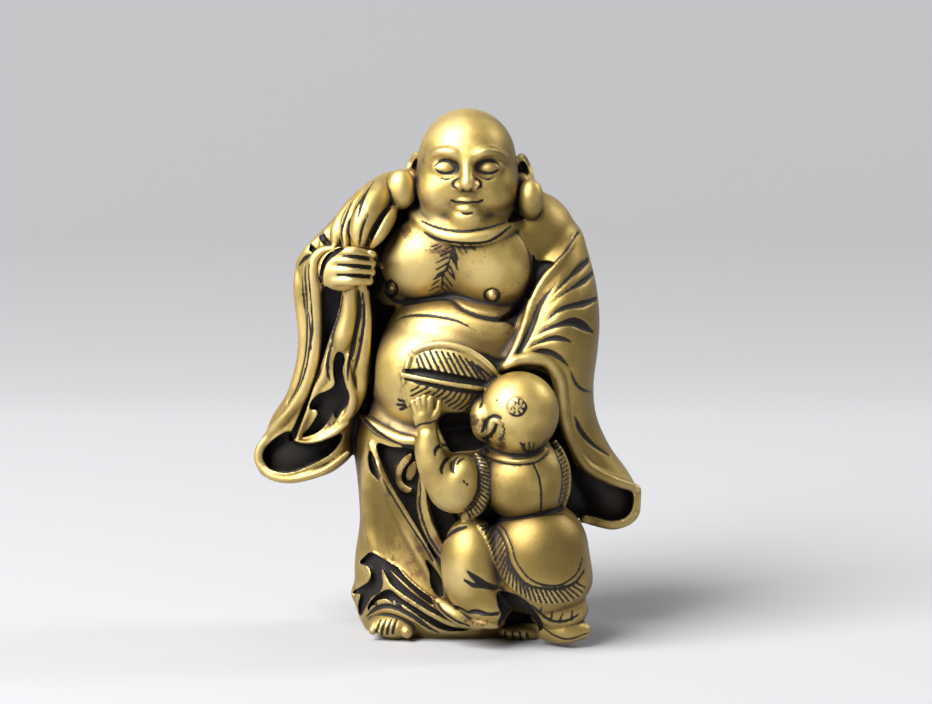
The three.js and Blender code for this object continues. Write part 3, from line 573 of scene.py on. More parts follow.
# PLEATS AND CUFF OF THE RIGHT SLEEVE
# The cloth fans out in sharp pleats from the bent right arm and falls to a wide cuff. The pleats are chased
# into the sleeve, and its turned edge is a bead laid on it.
fold([
    (23.6, 75.2), (22.3, 72.6), (20.0, 69.2), (17.2, 65.7), (15.5, 62.5), (14.4, 59.2), (13.2, 55.4),
    (11.8, 52.2), (9.9, 49.4),
], (0.1, 0.45, 0.7, 0.8, 0.8, 0.75, 0.7, 0.7, 0.5), 0.0, 0.8)
for line, radii in (
    ([(26.8, 70.8), (24.9, 69.1), (22.6, 67.0), (20.3, 64.8), (18.5, 62.8)], (0.3, 0.55, 0.4, 0.25, 0.1)),
    ([(27.1, 67.9), (25.1, 66.1), (22.6, 64.6), (20.2, 63.1), (18.7, 61.7)], (0.4, 0.5, 0.3, 0.2, 0.1)),
    ([(27.5, 62.8), (25.1, 61.9), (22.2, 61.3), (19.8, 60.3), (18.0, 58.6)], (0.4, 0.6, 0.5, 0.35, 0.15)),
    (
        [(26.9, 56.5), (25.1, 57.7), (23.3, 58.4), (21.1, 58.1), (18.1, 57.1), (15.9, 55.9)],
        (0.3, 0.85, 0.85, 0.5, 0.35, 0.15),
    ),
    ([(22.9, 54.6), (20.9, 55.3), (18.9, 55.3), (16.3, 54.5), (14.4, 53.5)], (0.2, 0.5, 0.5, 0.3, 0.15)),
    ([(22.3, 50.0), (20.0, 52.0), (17.4, 52.8), (15.0, 52.3), (13.0, 51.6)], (0.2, 0.5, 0.6, 0.4, 0.15)),
    ([(22.3, 49.9), (23.5, 47.1), (24.8, 45.8), (26.5, 45.3)], (0.12, 0.3, 0.3, 0.15)),
    ([(23.4, 40.7), (24.5, 38.2), (26.6, 35.8), (29.9, 33.5)], (0.2, 0.5, 0.5, 0.2)),
    ([(24.3, 75.4), (21.8, 72.1), (19.2, 69.5)], (0.2, 0.35, 0.25)),
    (
        [(20.0, 65.8), (18.1, 63.6), (16.5, 61.3), (15.6, 58.8), (14.4, 55.8), (13.0, 52.9), (11.3, 50.9)],
        (0.1, 0.3, 0.5, 0.55, 0.55, 0.5, 0.3),
    ),
):
    chase(line, radii, 0.1, 0.5)
hollow([
    (19.8, 46.8), (20.2, 42.0), (20.9, 37.8), (22.4, 33.7), (23.2, 31.5), (21.7, 30.7), (19.1, 34.5),
    (17.6, 38.2), (16.8, 43.8), (15.3, 47.6), (16.8, 49.1),
], 3.0, 0.4)
hollow([
    (21.9, 32.2), (23.0, 31.9), (25.1, 30.6), (28.0, 28.9), (31.8, 27.6), (34.0, 26.6), (34.2, 24.0),
    (32.9, 21.8), (29.9, 21.2), (26.6, 22.1), (24.9, 22.3), (23.9, 20.3), (21.5, 20.3), (22.0, 27.0),
], 4.2, 0.4)
fold([
    (9.9, 49.8), (12.3, 51.1), (15.7, 51.5), (18.5, 50.6), (20.2, 47.8), (20.8, 43.8), (21.3, 40.1),
    (22.6, 36.2), (25.6, 31.5), (30.3, 28.9), (34.8, 27.4),
], (0.7, 1.0, 1.2, 1.2, 1.2, 1.2, 1.1, 1.1, 1.0, 0.9, 0.7), 0.0, 0.5)
fold([
    (35.0, 27.2), (35.1, 24.2), (33.8, 21.6), (30.7, 20.4), (27.3, 21.0), (24.3, 21.6),
], (0.7, 0.8, 0.8, 0.8, 0.8, 0.5), 0.1, 0.3)

# NECK
# A roll of flesh round the neck, below the chin. It is a roll of wax laid on the chest, with a line chased
# above it and one below it.
roll((
    (-7.4, -4.0, 81.0), (-5.2, -9.2, 77.9), (-1.6, -12.2, 76.2), (3.0, -13.6, 75.6), (7.8, -12.4, 76.1),
    (11.6, -9.2, 77.7), (14.0, -4.0, 80.6),
), (1.2, 1.3, 1.35, 1.4, 1.35, 1.3, 1.2), blend=0.6)
chase([
    (-5.4, 77.3), (-2.6, 76.2), (0.4, 75.5), (3.7, 75.4), (7.1, 76.0), (10.5, 77.1),
], (0.1, 0.2, 0.22, 0.22, 0.2, 0.1))
chase([
    (-4.9, 75.2), (-2.6, 73.9), (0.4, 73.2), (3.4, 73.0), (6.6, 73.2), (9.0, 74.3), (11.6, 76.5),
], (0.15, 0.3, 0.3, 0.3, 0.3, 0.3, 0.15), 0.1)

# CHEST
# The heavy breasts over the belly, with hair down the breastbone. It is bare skin of the same brass, its
# creases chased with a blunt tool and the hair in short strokes with a sharp one.
chase([
    (-12.3, 64.4), (-11.0, 62.7), (-9.3, 62.1), (-7.3, 62.1), (-4.5, 62.6), (-1.7, 62.9), (0.4, 62.5),
    (2.1, 61.2), (3.7, 60.3), (6.0, 59.5), (9.0, 59.0), (11.4, 59.7), (13.7, 61.8), (15.0, 65.3),
], (0.3, 0.4, 0.5, 0.45, 0.35, 0.3, 0.35, 0.4, 0.5, 0.55, 0.6, 0.7, 0.7, 0.4), 0.1, 0.6)
chase([
    (-10.5, 58.6), (-8.6, 59.5), (-5.6, 59.8), (-1.9, 59.4), (1.5, 58.6), (4.9, 56.7),
], (0.15, 0.25, 0.3, 0.3, 0.25, 0.1), 0.1, 0.4)
chase([(3.7, 53.2), (6.7, 52.1), (9.4, 50.9), (11.2, 53.2)], (0.2, 0.6, 0.8, 0.4), 0.1, 0.5)
for stroke in (
    [(0.8, 72.8), (0.2, 70.9), (-0.4, 68.9), (-1.3, 67.0), (-1.5, 64.6)], [(0.4, 72.6), (-1.3, 71.7)],
    [(0.2, 71.7), (-1.9, 70.6)], [(-0.2, 70.6), (-2.6, 69.4)], [(-0.4, 69.4), (-2.6, 68.1)],
    [(-0.4, 68.3), (-2.4, 67.2)], [(-1.5, 67.2), (-3.2, 66.3)], [(-1.9, 66.3), (-3.5, 65.1)],
    [(-2.0, 65.1), (-3.9, 64.2)], [(-1.9, 64.2), (-3.2, 63.3)], [(1.3, 72.6), (2.3, 71.1)],
    [(0.8, 72.1), (1.5, 70.0)], [(0.4, 71.7), (1.3, 69.1)], [(0.2, 70.6), (1.5, 68.1)],
    [(0.0, 68.9), (0.9, 66.8)], [(-0.4, 67.9), (0.9, 66.3)], [(-1.1, 67.2), (0.6, 64.9)],
    [(-1.3, 65.9), (0.2, 64.2)], [(-1.5, 64.8), (-0.2, 63.3)], [(-2.2, 73.0), (-3.5, 72.4)],
    [(-1.5, 72.6), (-3.0, 71.9)], [(2.3, 72.8), (3.2, 71.3)], [(3.7, 72.8), (4.9, 71.7)],
):
    chase(stroke, 0.11)
chase([
    (12.7, 75.2), (14.6, 72.3), (15.5, 68.7), (14.9, 64.6), (12.9, 61.0), (9.8, 59.2),
], (0.1, 0.25, 0.35, 0.45, 0.5, 0.3), 0.1, 0.6)
hollow([
    (15.4, 71.2), (16.2, 69.8), (17.8, 69.8), (19.4, 69.3), (17.8, 67.9), (16.6, 66.1), (15.6, 64.2),
    (14.9, 62.7), (14.3, 62.8), (14.9, 65.0), (15.6, 67.6),
], 1.4, 0.3)
hollow([
    (14.2, 62.8), (13.3, 61.0), (12.7, 59.5), (12.0, 57.5), (11.1, 58.2), (9.1, 58.7), (10.2, 59.3),
    (12.0, 60.5), (13.3, 62.1),
], 1.4, 0.3)
hollow([(12.2, 79.5), (12.9, 78.6), (13.9, 77.8), (12.6, 77.2), (10.9, 77.1), (11.3, 78.2)], 1.6, 0.3)
chase([
    (-11.0, 66.1), (-10.1, 65.3), (-10.1, 64.0), (-11.0, 63.3), (-12.0, 64.0), (-12.0, 65.3), (-11.0, 66.1),
], 0.3)
fold([(-10.8, 64.9), (-10.7, 64.6)], 0.55, 0.3, 0.1)
chase([
    (7.9, 64.6), (9.0, 64.0), (9.0, 62.7), (7.9, 62.1), (6.7, 62.7), (6.7, 64.0), (7.9, 64.6),
], 0.25, -0.02)
fold([(7.9, 63.5), (8.0, 63.3)], 0.8, 0.1, 0.1)

# FAN
# A stiff leaf fan that lies on the belly, with a raised rim, a midrib and slats. It is a thin layer of wax
# within the leaf's outline, chased between the slats.
def layer(outline, height, blend, back=1.5, smoothed=True):
    """A layer laid on within an outline."""
    where, edge, behind = shaped(outline, height, back, smoothed)
    join(where, np.maximum(np.maximum(edge, -behind - height), behind - back), blend)


blade = [
    (-8.6, 48.3), (-7.7, 51.3), (-6.3, 53.2), (-4.1, 54.2), (-1.5, 54.5), (1.5, 54.0), (4.3, 52.8),
    (6.9, 50.9), (9.4, 48.3), (9.4, 45.3), (7.1, 43.5), (3.7, 42.0), (1.1, 41.4), (-1.9, 41.6),
    (-4.9, 42.3), (-7.5, 43.1), (-8.4, 45.3),
]
layer(blade, 1.5, 0.15)
fold([
    (-8.4, 48.3), (-7.5, 51.7), (-6.2, 53.2), (-4.1, 54.0), (-1.5, 54.3), (1.5, 53.8), (4.3, 52.6),
    (6.9, 50.7), (9.2, 48.3),
], (0.4, 0.55, 0.55, 0.55, 0.55, 0.55, 0.55, 0.55, 0.4), 0.35, 0.15)
fold([(-8.6, 47.9), (-8.6, 45.3), (-7.7, 42.9)], 0.4, 0.3, 0.15)
fold([(-9.1, 48.6), (-5.2, 47.9), (0.0, 46.9), (6.7, 45.9)], 0.5, 0.4, 0.1)
chase([(-8.6, 49.2), (-5.2, 48.8), (0.0, 47.9), (6.4, 46.8)], (0.35, 0.75, 0.8, 0.6), 0.0, 0.1)
for slat in (
    [(-6.3, 51.7), (-5.7, 49.8)], [(-5.7, 52.2), (-4.6, 49.5)], [(-4.8, 52.6), (-3.0, 48.9)],
    [(-3.7, 52.9), (-1.6, 48.5)], [(-2.6, 53.0), (-0.3, 48.2)], [(-1.5, 52.9), (1.0, 47.9)],
    [(-0.4, 52.7), (2.2, 47.6)], [(0.7, 52.5), (3.5, 47.4)], [(1.8, 52.1), (4.8, 47.3)],
    [(3.0, 51.6), (5.9, 47.4)], [(4.1, 51.0), (6.8, 47.6)], [(5.2, 50.3), (7.7, 48.1)],
):
    chase(slat, 0.17)
for slat in (
    [(-7.3, 45.5), (-5.8, 46.3)], [(-7.3, 44.5), (-5.4, 45.5), (-4.2, 46.1)],
    [(-7.0, 43.5), (-5.1, 44.6), (-3.6, 45.4)], [(-3.3, 44.7), (-2.6, 45.2), (-1.8, 45.9)],
    [(-2.5, 44.3), (-1.4, 45.0), (-0.7, 45.8)], [(-1.6, 43.8), (-0.3, 44.6), (0.4, 45.6)],
    [(-0.9, 43.2), (0.6, 44.2), (1.4, 45.4)], [(-0.3, 42.6), (1.4, 43.7), (2.3, 45.1)],
    [(0.7, 42.2), (2.4, 43.4), (3.3, 44.9)], [(1.8, 42.0), (3.4, 43.1), (4.3, 44.7)],
    [(2.9, 42.0), (4.1, 42.8), (5.0, 44.3)],
):
    chase(slat, 0.15)
chase([
    (-8.4, 47.9), (-4.9, 46.9), (-1.1, 46.2), (3.0, 45.5), (5.6, 45.1),
], (0.2, 0.35, 0.35, 0.3, 0.2), 0.0, 0.1)
for stroke in ([(-9.7, 43.8), (-8.4, 43.5)], [(-9.9, 42.9), (-8.4, 42.9)], [(-9.3, 42.0), (-8.2, 42.5)]):
    chase(stroke, 0.25)

# SKIRT, BELT AND SASH
# The robe's skirt below the belly, with a rolled belt, a knotted sash and long slanting folds. The folds
# and the knot are laid on, and the deep places between them are sunk.
fold([
    (-16.4, 40.8), (-14.6, 39.3), (-12.1, 37.7), (-9.3, 36.5), (-6.7, 36.2),
], (0.6, 0.9, 1.0, 1.0, 0.8), 0.2, 0.3)
chase([(-16.1, 40.1), (-13.4, 37.6), (-10.3, 35.8), (-6.9, 34.9)], 0.4, 0.1)
fold([
    (-15.2, 35.0), (-15.5, 31.7), (-15.4, 27.2), (-15.3, 23.5), (-15.1, 19.7), (-14.4, 16.4),
], (0.4, 0.9, 1.1, 1.2, 1.1, 0.5), -0.5, 1.4)
fold([
    (-14.8, 35.6), (-13.6, 32.2), (-12.0, 28.8), (-10.2, 25.7), (-8.1, 22.3), (-6.2, 19.4), (-4.5, 16.7),
    (-2.8, 13.4), (-1.7, 10.7),
], (0.4, 0.7, 0.8, 0.85, 0.85, 0.8, 0.75, 0.6, 0.4), 0.1, 0.6)
fold([
    (-13.5, 31.5), (-11.8, 26.8), (-10.1, 23.1), (-8.0, 19.0), (-6.0, 15.2), (-4.1, 11.9), (-3.2, 9.6),
], (0.3, 0.6, 0.7, 0.7, 0.7, 0.6, 0.4), 0.0, 0.9)
hollow([
    (-13.6, 35.6), (-10.8, 35.0), (-7.2, 34.7), (-6.2, 33.5), (-5.6, 30.7), (-6.0, 27.9), (-6.2, 24.2),
    (-5.7, 21.2), (-4.6, 18.2), (-2.9, 15.2), (-1.9, 13.4), (-2.9, 14.5), (-4.5, 17.3), (-6.0, 19.9),
    (-7.8, 22.9), (-9.9, 26.3), (-11.6, 29.4), (-12.9, 32.4),
], 3.0, 0.2)
hollow([
    (-15.0, 34.4), (-14.4, 33.5), (-13.7, 31.5), (-13.1, 28.8), (-14.1, 29.6), (-14.9, 30.9), (-15.2, 32.8),
], 1.4, 0.15)
chase([
    (-12.9, 30.0), (-11.2, 26.4), (-9.3, 23.1), (-7.3, 19.9), (-5.2, 16.7), (-3.4, 13.7),
], (0.1, 0.25, 0.3, 0.3, 0.35, 0.3), 0.05, 0.4)
hollow([
    (-4.6, 14.0), (-3.2, 12.6), (-1.7, 10.4), (-1.4, 7.0), (-2.8, 7.9), (-3.6, 9.6), (-3.7, 11.5),
], 2.0, 0.2)
layer([
    (-10.2, 30.0), (-9.7, 31.7), (-8.4, 33.3), (-6.9, 33.9), (-7.7, 32.1), (-8.8, 30.7), (-8.9, 28.8),
    (-7.8, 27.6), (-6.9, 27.3), (-7.7, 26.4), (-9.2, 26.8), (-10.1, 28.3),
], 1.8, 0.35, 2.5)
layer([(-7.6, 31.7), (-6.3, 32.4), (-6.2, 30.5), (-7.3, 28.7), (-8.2, 29.2), (-8.1, 30.7)], 1.2, 0.3, 2.0)
hollow([
    (-4.1, 29.6), (-1.9, 26.8), (0.0, 24.3), (2.0, 21.7), (2.9, 20.8), (1.1, 20.4), (-0.3, 19.0),
    (-1.3, 17.3), (-2.2, 19.5), (-3.3, 22.5), (-4.0, 25.7), (-4.3, 27.9),
], 2.8, 0.2)
fold([(-3.3, 28.5), (-1.2, 25.0), (1.3, 20.9)], (0.3, 0.4, 0.25), 0.7, 0.1)
layer([
    (-5.2, 31.2), (-4.3, 30.2), (-4.4, 26.8), (-4.0, 23.5), (-3.1, 20.5), (-1.4, 17.0), (-1.6, 14.2),
    (-3.3, 16.4), (-4.7, 19.0), (-5.6, 21.6), (-6.0, 24.2), (-5.7, 27.9),
], 1.5, 0.4, 2.5)
chase([
    (-5.5, 28.7), (-5.7, 24.2), (-5.2, 21.6), (-4.2, 18.8), (-2.7, 16.3), (-1.6, 14.7),
], (0.15, 0.2, 0.2, 0.2, 0.2, 0.1), 0.0, 0.1)

# HEM
# The skirt's trailing hem, folded over itself above the left foot. It is a thin layer of wax with the gaps
# between its folds sunk through it.
layer([
    (-17.1, 12.9), (-14.8, 15.2), (-12.7, 14.0), (-9.7, 12.4), (-6.7, 9.6), (-3.2, 6.9), (0.8, 4.2),
    (5.2, 2.3), (5.2, 0.1), (0.0, 0.1), (-3.7, 0.4), (-6.7, 2.3), (-11.2, 4.0), (-14.9, 3.6), (-16.3, 3.1),
    (-17.4, 5.3), (-18.5, 7.8), (-17.5, 10.4),
], 0.7, 0.8, 2.0)
hollow([
    (-16.8, 13.4), (-16.0, 14.4), (-14.8, 15.3), (-12.9, 14.3), (-10.8, 13.0), (-9.7, 12.4), (-8.4, 10.7),
    (-6.3, 8.8), (-3.7, 6.9), (-1.4, 5.2), (1.1, 3.6), (3.7, 2.3), (5.2, 1.9), (3.0, 1.6), (0.0, 2.6),
    (-3.7, 4.4), (-6.7, 6.3), (-9.0, 7.8), (-11.1, 9.6), (-12.4, 12.2), (-12.9, 12.1), (-12.6, 9.6),
    (-13.1, 8.1), (-14.8, 6.9), (-16.0, 4.6), (-16.7, 3.5), (-17.1, 5.3), (-16.7, 7.5), (-18.2, 7.8),
    (-16.7, 8.8), (-15.2, 9.8), (-14.7, 11.2), (-15.2, 12.7),
], 2.2, 0.15)
fold([
    (-11.2, 12.1), (-8.2, 9.2), (-5.2, 6.7), (-1.9, 4.6), (1.1, 3.1),
], (0.15, 0.3, 0.3, 0.3, 0.2), 0.9, 0.1)
hollow([
    (-13.0, 7.7), (-11.2, 8.3), (-9.0, 6.6), (-6.6, 5.1), (-3.7, 3.3), (0.0, 1.5), (3.7, 0.9), (-0.4, 0.7),
    (-3.7, 2.1), (-6.3, 3.9), (-8.6, 5.5), (-10.8, 6.6), (-12.6, 6.7), (-14.0, 6.1), (-15.4, 4.4),
    (-14.8, 6.1),
], 1.7, 0.15)
chase([
    (-15.7, 3.3), (-14.4, 4.5), (-12.9, 5.2), (-11.2, 5.2), (-9.0, 4.4), (-6.7, 3.1), (-4.1, 1.2),
    (-2.2, 0.3),
], (0.15, 0.35, 0.45, 0.45, 0.45, 0.45, 0.4, 0.2), 0.2, 0.2)
for stroke in ([(-12.3, 7.4), (-10.8, 6.1)], [(-10.1, 6.0), (-9.0, 4.9)], [(-14.9, 5.5), (-13.8, 5.8)]):
    chase(stroke, 0.2)

# LEFT FOOT
# The bare toes that show below the hem. The foot is one mass, with a roll for each toe and lines chased
# between them.
lump((-10.2, -7.4, 2.6), (4.9, 4.6, 2.7), blend=0.3)
for i in range(4):
    x = -14.29 + 1.234 * i
    roll(((x + 0.5, -8.6 - 0.3 * i, 3.2), (x, -10.2 - 0.3 * i, 1.9)), (0.9, 0.8), blend=0.2)
roll(((-8.3, -9.4, 2.7), (-8.0, -11.2, 1.9)), (1.5, 1.2), blend=0.4)
for x in (-13.748, -12.739, -11.729, -10.683):
    chase([(x + 0.822, 2.967), (x + 0.15, 1.098), (x, -0.024)], (0.1, 0.22, 0.2))

# CHILD
# A small child seen from behind, who stands against the skirt and reaches up to the fan. The body, the head
# and the sleeved arm are round masses pressed together, and their creases are chased.
lump((16.2, -13.6, 17.8), (9.4, 9.4, 9.6), blend=0.3)
lump((16.9, -13.5, 12.4), (9.4, 9.0, 6.4), blend=3)
lump((13.8, -14.8, 31.4), (8.1, 7.6, 8.0), blend=0.4)
lump((12.5, -16.5, 38), (5.4, 5.0, 3.2), blend=1.0)
lump((12.6, -18.4, 44.3), (7.3, 6.9, 7.5), blend=0.3)
lump((5.9, -19.2, 43.4), (2.2, 3.4, 3.4), blend=0.7)
lump((0.9, -18.2, 30.9), (4.9, 4.2, 5.2), blend=0.4)
lump((2.4, -18.2, 33.4), (3.2, 3.3, 2.9), blend=1.2)
roll((
    (-0.6, -18.6, 30), (-2.3, -19.2, 33.3), (-3.7, -20, 37.4), (-3.9, -20.4, 40.4),
), (3.0, 3.1, 2.6, 1.9), blend=0.8)
cord(((-4.3, 38.8, -20.2), (-4.9, 40.8, -20.4)), (1.9, 2.0), 0.75, blend=0.2)
for base, tip in (
    ((-6.2, 41.4), (-6.9, 43.5)), ((-5.4, 41.8), (-5.9, 44.0)), ((-4.6, 41.8), (-4.8, 44.4)),
    ((-3.7, 41.6), (-3.6, 44.2)),
):
    roll((at(base, -21.0), at(tip, -21.2)), (0.62, 0.52), blend=0.08)
cord(((-3.2, 40.3, -20.8), (-2.2, 41.8, -21.0), (-2.0, 43.5, -20.8)), (0.85, 0.7, 0.5), blend=0.15)
chase([(-6.5, 38.6), (-5.4, 39.3), (-3.8, 39.5), (-2.2, 40.1)], 0.14)
hollow([
    (-1.8, 40.5), (-0.4, 41.3), (3.3, 41.2), (3.8, 39.9), (4.2, 37.7), (5.4, 36.3), (6.7, 35.5),
    (5.4, 34.7), (3.4, 34.4), (1.7, 34.3), (0.4, 34.1), (-0.4, 35.3), (-1.5, 37.7), (-2.1, 39.4),
], 3.0, 0.3)
for line, radii in (
    ([(-0.6, 35.3), (-1.7, 35.3), (-2.6, 34.5), (-2.7, 33.4)], (0.2, 0.3, 0.35, 0.15)),
    ([(0.2, 33.4), (-0.8, 32.4), (-1.5, 31.0), (-1.4, 30.0)], (0.15, 0.35, 0.38, 0.15)),
    ([(1.5, 33.3), (0.6, 32.4), (0.4, 31.1), (0.7, 30.1)], (0.15, 0.35, 0.38, 0.15)),
    ([(3.0, 33.2), (1.8, 32.6), (1.3, 31.6)], (0.12, 0.25, 0.1)),
):
    chase(line, radii, 0.05, 0.3)
for spot in ([(2.6, 28.7), (2.7, 28.6)], [(3.2, 28.1), (3.3, 28.0)]):
    chase(spot, 0.2)

# FRILLS
# The armholes of the child's vest are edged with gathered frills. Each is a roll of wax, with short lines
# chased across it at even distances like the rungs of a ladder.
cord((
    (4.9, 33.4, -17.2), (6.0, 31.4, -18.6), (6.4, 28.7, -18.8), (6.1, 25.8, -18.4), (4.9, 23.4, -17.4),
    (2.9, 22.1, -16.6),
), (0.6, 1.2, 1.35, 1.35, 1.25, 0.9), 0.8, blend=0.2)
cord((
    (19.6, 35.8, -15.4), (20.8, 33.4, -15.6), (21.6, 30.7, -15.4), (21.7, 27.3, -15.2), (21.0, 24.3, -14.6),
), (0.6, 0.85, 0.95, 0.9, 0.7), blend=0.2)
inner = [(4.4, 33.7), (5.2, 31.4), (5.4, 28.7), (5.0, 26.3), (3.8, 24.2), (2.7, 23.2)]
outer = [(6.0, 34.1), (7.2, 31.3), (7.7, 28.7), (7.4, 25.8), (6.3, 23.2), (3.9, 21.5)]


def rungs(one, two, count, radius, slant):
    """Short lines chased from one curve to another, slanted by a share of their length."""
    one, two = smooth(one, 0.05), smooth(two, 0.05)
    for i in range(count):
        a = one[int((i + 0.5) / count * (len(one) - 1))]
        b = two[int(np.clip((i + 0.5) / count + slant, 0, 1) * (len(two) - 1))]
        chase([a + (b - a) * 0.08, b + (a - b) * 0.08], radius)


rungs(inner, outer, 17, 0.12, 0.03)
chase(inner, 0.18)
rungs([
    (19.1, 35.6), (20.2, 33.3), (21.0, 30.6), (21.0, 27.3), (20.4, 24.3),
], [(20.4, 36.1), (21.5, 33.4), (22.3, 30.7), (22.3, 27.3), (21.6, 24.2)], 15, 0.11, -0.05)
chase([(19.0, 35.6), (20.1, 33.3), (20.9, 30.6), (20.9, 27.3), (20.3, 24.3)], 0.16)

# VEST
# A short vest with a collar band, a seam down the back and a hem over the apron. The band is a bead of wax,
# and the seam and the hem are chased.
fold([(6.7, 33.7), (9.2, 32.8), (12.9, 32.3), (16.1, 32.9), (18.0, 34.5)], 0.5, 0.15, 0.2)
chase([(6.7, 33.2), (9.2, 32.2), (12.9, 31.7), (16.3, 32.3), (18.1, 33.9)], 0.12)
chase([(15.5, 32.1), (16.6, 29.6), (17.1, 26.3), (17.0, 23.1)], 0.15)
chase([(5.2, 21.2), (7.1, 20.8), (9.2, 21.1), (13.5, 21.9), (17.2, 22.8), (20.9, 23.6)], 0.25, 0.1, 0.3)

# CHILD'S HEAD
# A round shaven head turned away, with one ear, a small flower-shaped tuft and short hair at the nape. The
# ear and the tuft are pressed on, and the hair is chased.
chase([(6.2, 45.7), (6.0, 44.5), (5.8, 42.9), (5.4, 42.3)], (0.1, 0.2, 0.25, 0.1), 0.0, 0.3)
fold([
    (7.5, 37.7), (7.7, 38.9), (8.0, 39.9), (8.7, 40.0), (9.4, 39.4),
], (0.5, 0.7, 0.6, 0.5, 0.3), 0.3, 0.15)
chase([
    (6.0, 37.7), (6.5, 38.9), (6.9, 40.0), (7.7, 40.7), (8.7, 40.8), (9.8, 40.2),
], (0.2, 0.35, 0.35, 0.3, 0.3, 0.15), 0.1)
chase([(8.7, 39.1), (8.3, 38.2), (7.5, 37.1), (6.4, 36.6)], (0.2, 0.3, 0.35, 0.25), 0.1)
for stroke in (
    [(10.1, 39.5), (9.8, 38.6)], [(10.3, 38.6), (9.9, 37.7)], [(10.2, 37.7), (9.8, 36.8)],
    [(9.7, 36.8), (9.0, 36.1)],
):
    chase(stroke, 0.1)
tuft = np.array([12.5, 42.6])
lump(at(tuft, -24.9), (1.75, 0.8, 1.75), blend=0.5)
for turn in np.arange(8) * math.pi / 4:
    inward = tuft + 0.5 * np.array([math.cos(turn), math.sin(turn)])
    outward = tuft + 1.5 * np.array([math.cos(turn + 0.5), math.sin(turn + 0.5)])
    chase([inward, outward], 0.1)
chase([
    (12.5, 44.4), (13.8, 43.8), (14.3, 42.6), (13.8, 41.4), (12.5, 40.8), (11.0, 41.4),
], (0.08, 0.15, 0.18, 0.18, 0.15, 0.1))
chase([(8.6, 43.9), (8.8, 43.8)], 0.15)
for stroke in (
    [(13.8, 35.8), (14.3, 33.9)], [(14.8, 36.0), (14.8, 33.9)], [(15.9, 35.8), (15.1, 33.7)],
    [(13.1, 36.0), (13.8, 34.3)],
):
    chase(stroke, 0.11)
chase([
    (6.7, 35.2), (9.4, 33.9), (12.9, 33.4), (16.1, 34.1), (18.1, 36.2),
], (0.4, 0.4, 0.35, 0.35, 0.3), 0.2, 0.2)

# TROUSERS AND SHOES
# Full trousers with one knee forward, gathered over soft shoes with a seam. They are masses of wax with
# creases chased in. The toes of the larger right foot show between them.
lump((4.4, -15.4, 15.0), (6.0, 6.2, 9.6), -4, blend=0.9)
lump((7.0, -15.2, 8.0), (4.4, 5.2, 4.4), blend=1.2)
lump((20, -13.6, 7), (5.6, 5.6, 4.2), blend=0.5)
chase([(-1.7, 16.5), (-0.6, 18.4), (1.1, 19.7), (3.0, 20.3)], (0.2, 0.5, 0.5, 0.3), 0.2, 0.3)
chase([(3.2, 11.7), (4.9, 10.4), (6.9, 9.1), (9.9, 8.5)], (0.25, 0.55, 0.6, 0.3), 0.1, 0.3)
chase([(2.6, 10.2), (4.5, 9.1), (6.4, 8.9)], (0.2, 0.4, 0.2), 0.1, 0.2)
fold([
    (-2.9, 6.4), (-1.0, 4.5), (1.8, 3.0), (4.9, 2.2), (8.4, 1.9), (10.0, 2.3),
], (0.5, 0.85, 0.9, 0.9, 0.8, 0.5), 0.1, 0.3)
chase([
    (-1.3, 6.1), (0.2, 5.2), (1.9, 4.8), (3.3, 4.1), (4.9, 4.2), (7.0, 3.7), (9.1, 3.9),
], (0.2, 0.3, 0.45, 0.3, 0.5, 0.35, 0.3), 0.05, 0.2)
cord((
    (-2.2, 6.1, -14.6), (-0.6, 4.8, -16.0), (1.9, 3.2, -17.0), (5.2, 2.1, -16.6),
), (0.9, 1.3, 1.4, 1.2), blend=0.25)
chase([(-2.5, 5.9), (-1.4, 4.3), (1.1, 2.5), (3.7, 1.5)], (0.15, 0.25, 0.25, 0.2))
lump(at((20.0, 4.0), -13.6), (4.6, 4.6, 2.6), blend=0.4)
cord(((18.5, 1.4, -13.2), (21.5, 1.0, -15.0), (24.8, 0.8, -15.2)), (2.6, 2.7, 1.6), 1.2, blend=0.3)
chase([(17.2, 1.4), (19.5, -0.2), (22.3, -0.9), (26.1, 0.4)], (0.12, 0.16, 0.16, 0.1))
chase([
    (15.3, 5.5), (17.5, 3.3), (19.7, 2.3), (22.3, 2.6), (24.3, 3.9),
], (0.15, 0.3, 0.3, 0.3, 0.15), 0.1, 0.2)
for stroke in (
    [(16.9, 3.9), (17.2, 5.5)], [(18.9, 2.6), (19.1, 4.2)], [(20.4, 2.3), (21.2, 4.1)],
    [(22.6, 2.7), (22.9, 4.4)],
):
    chase(stroke, 0.12)
hollow([
    (9.1, 8.0), (11.8, 7.6), (14.4, 6.1), (15.9, 4.2), (17.2, 2.2), (16.9, 0.8), (14.1, 0.9), (10.7, 1.0),
    (9.0, 1.8), (9.6, 3.8), (9.0, 5.7),
], 3.5, 0.3)
lump((13.3, -8.3, 1.3), (4.3, 2.6, 1.6), blend=0.3)
for slit in (
    [(10.2, 0.6), (10.5, -1.1)], [(11.6, 0.6), (11.9, -1.2)], [(13.0, 0.6), (13.3, -1.1)],
    [(14.4, 0.4), (14.6, -0.8)],
):
    chase(slit, 0.2, 0.1)

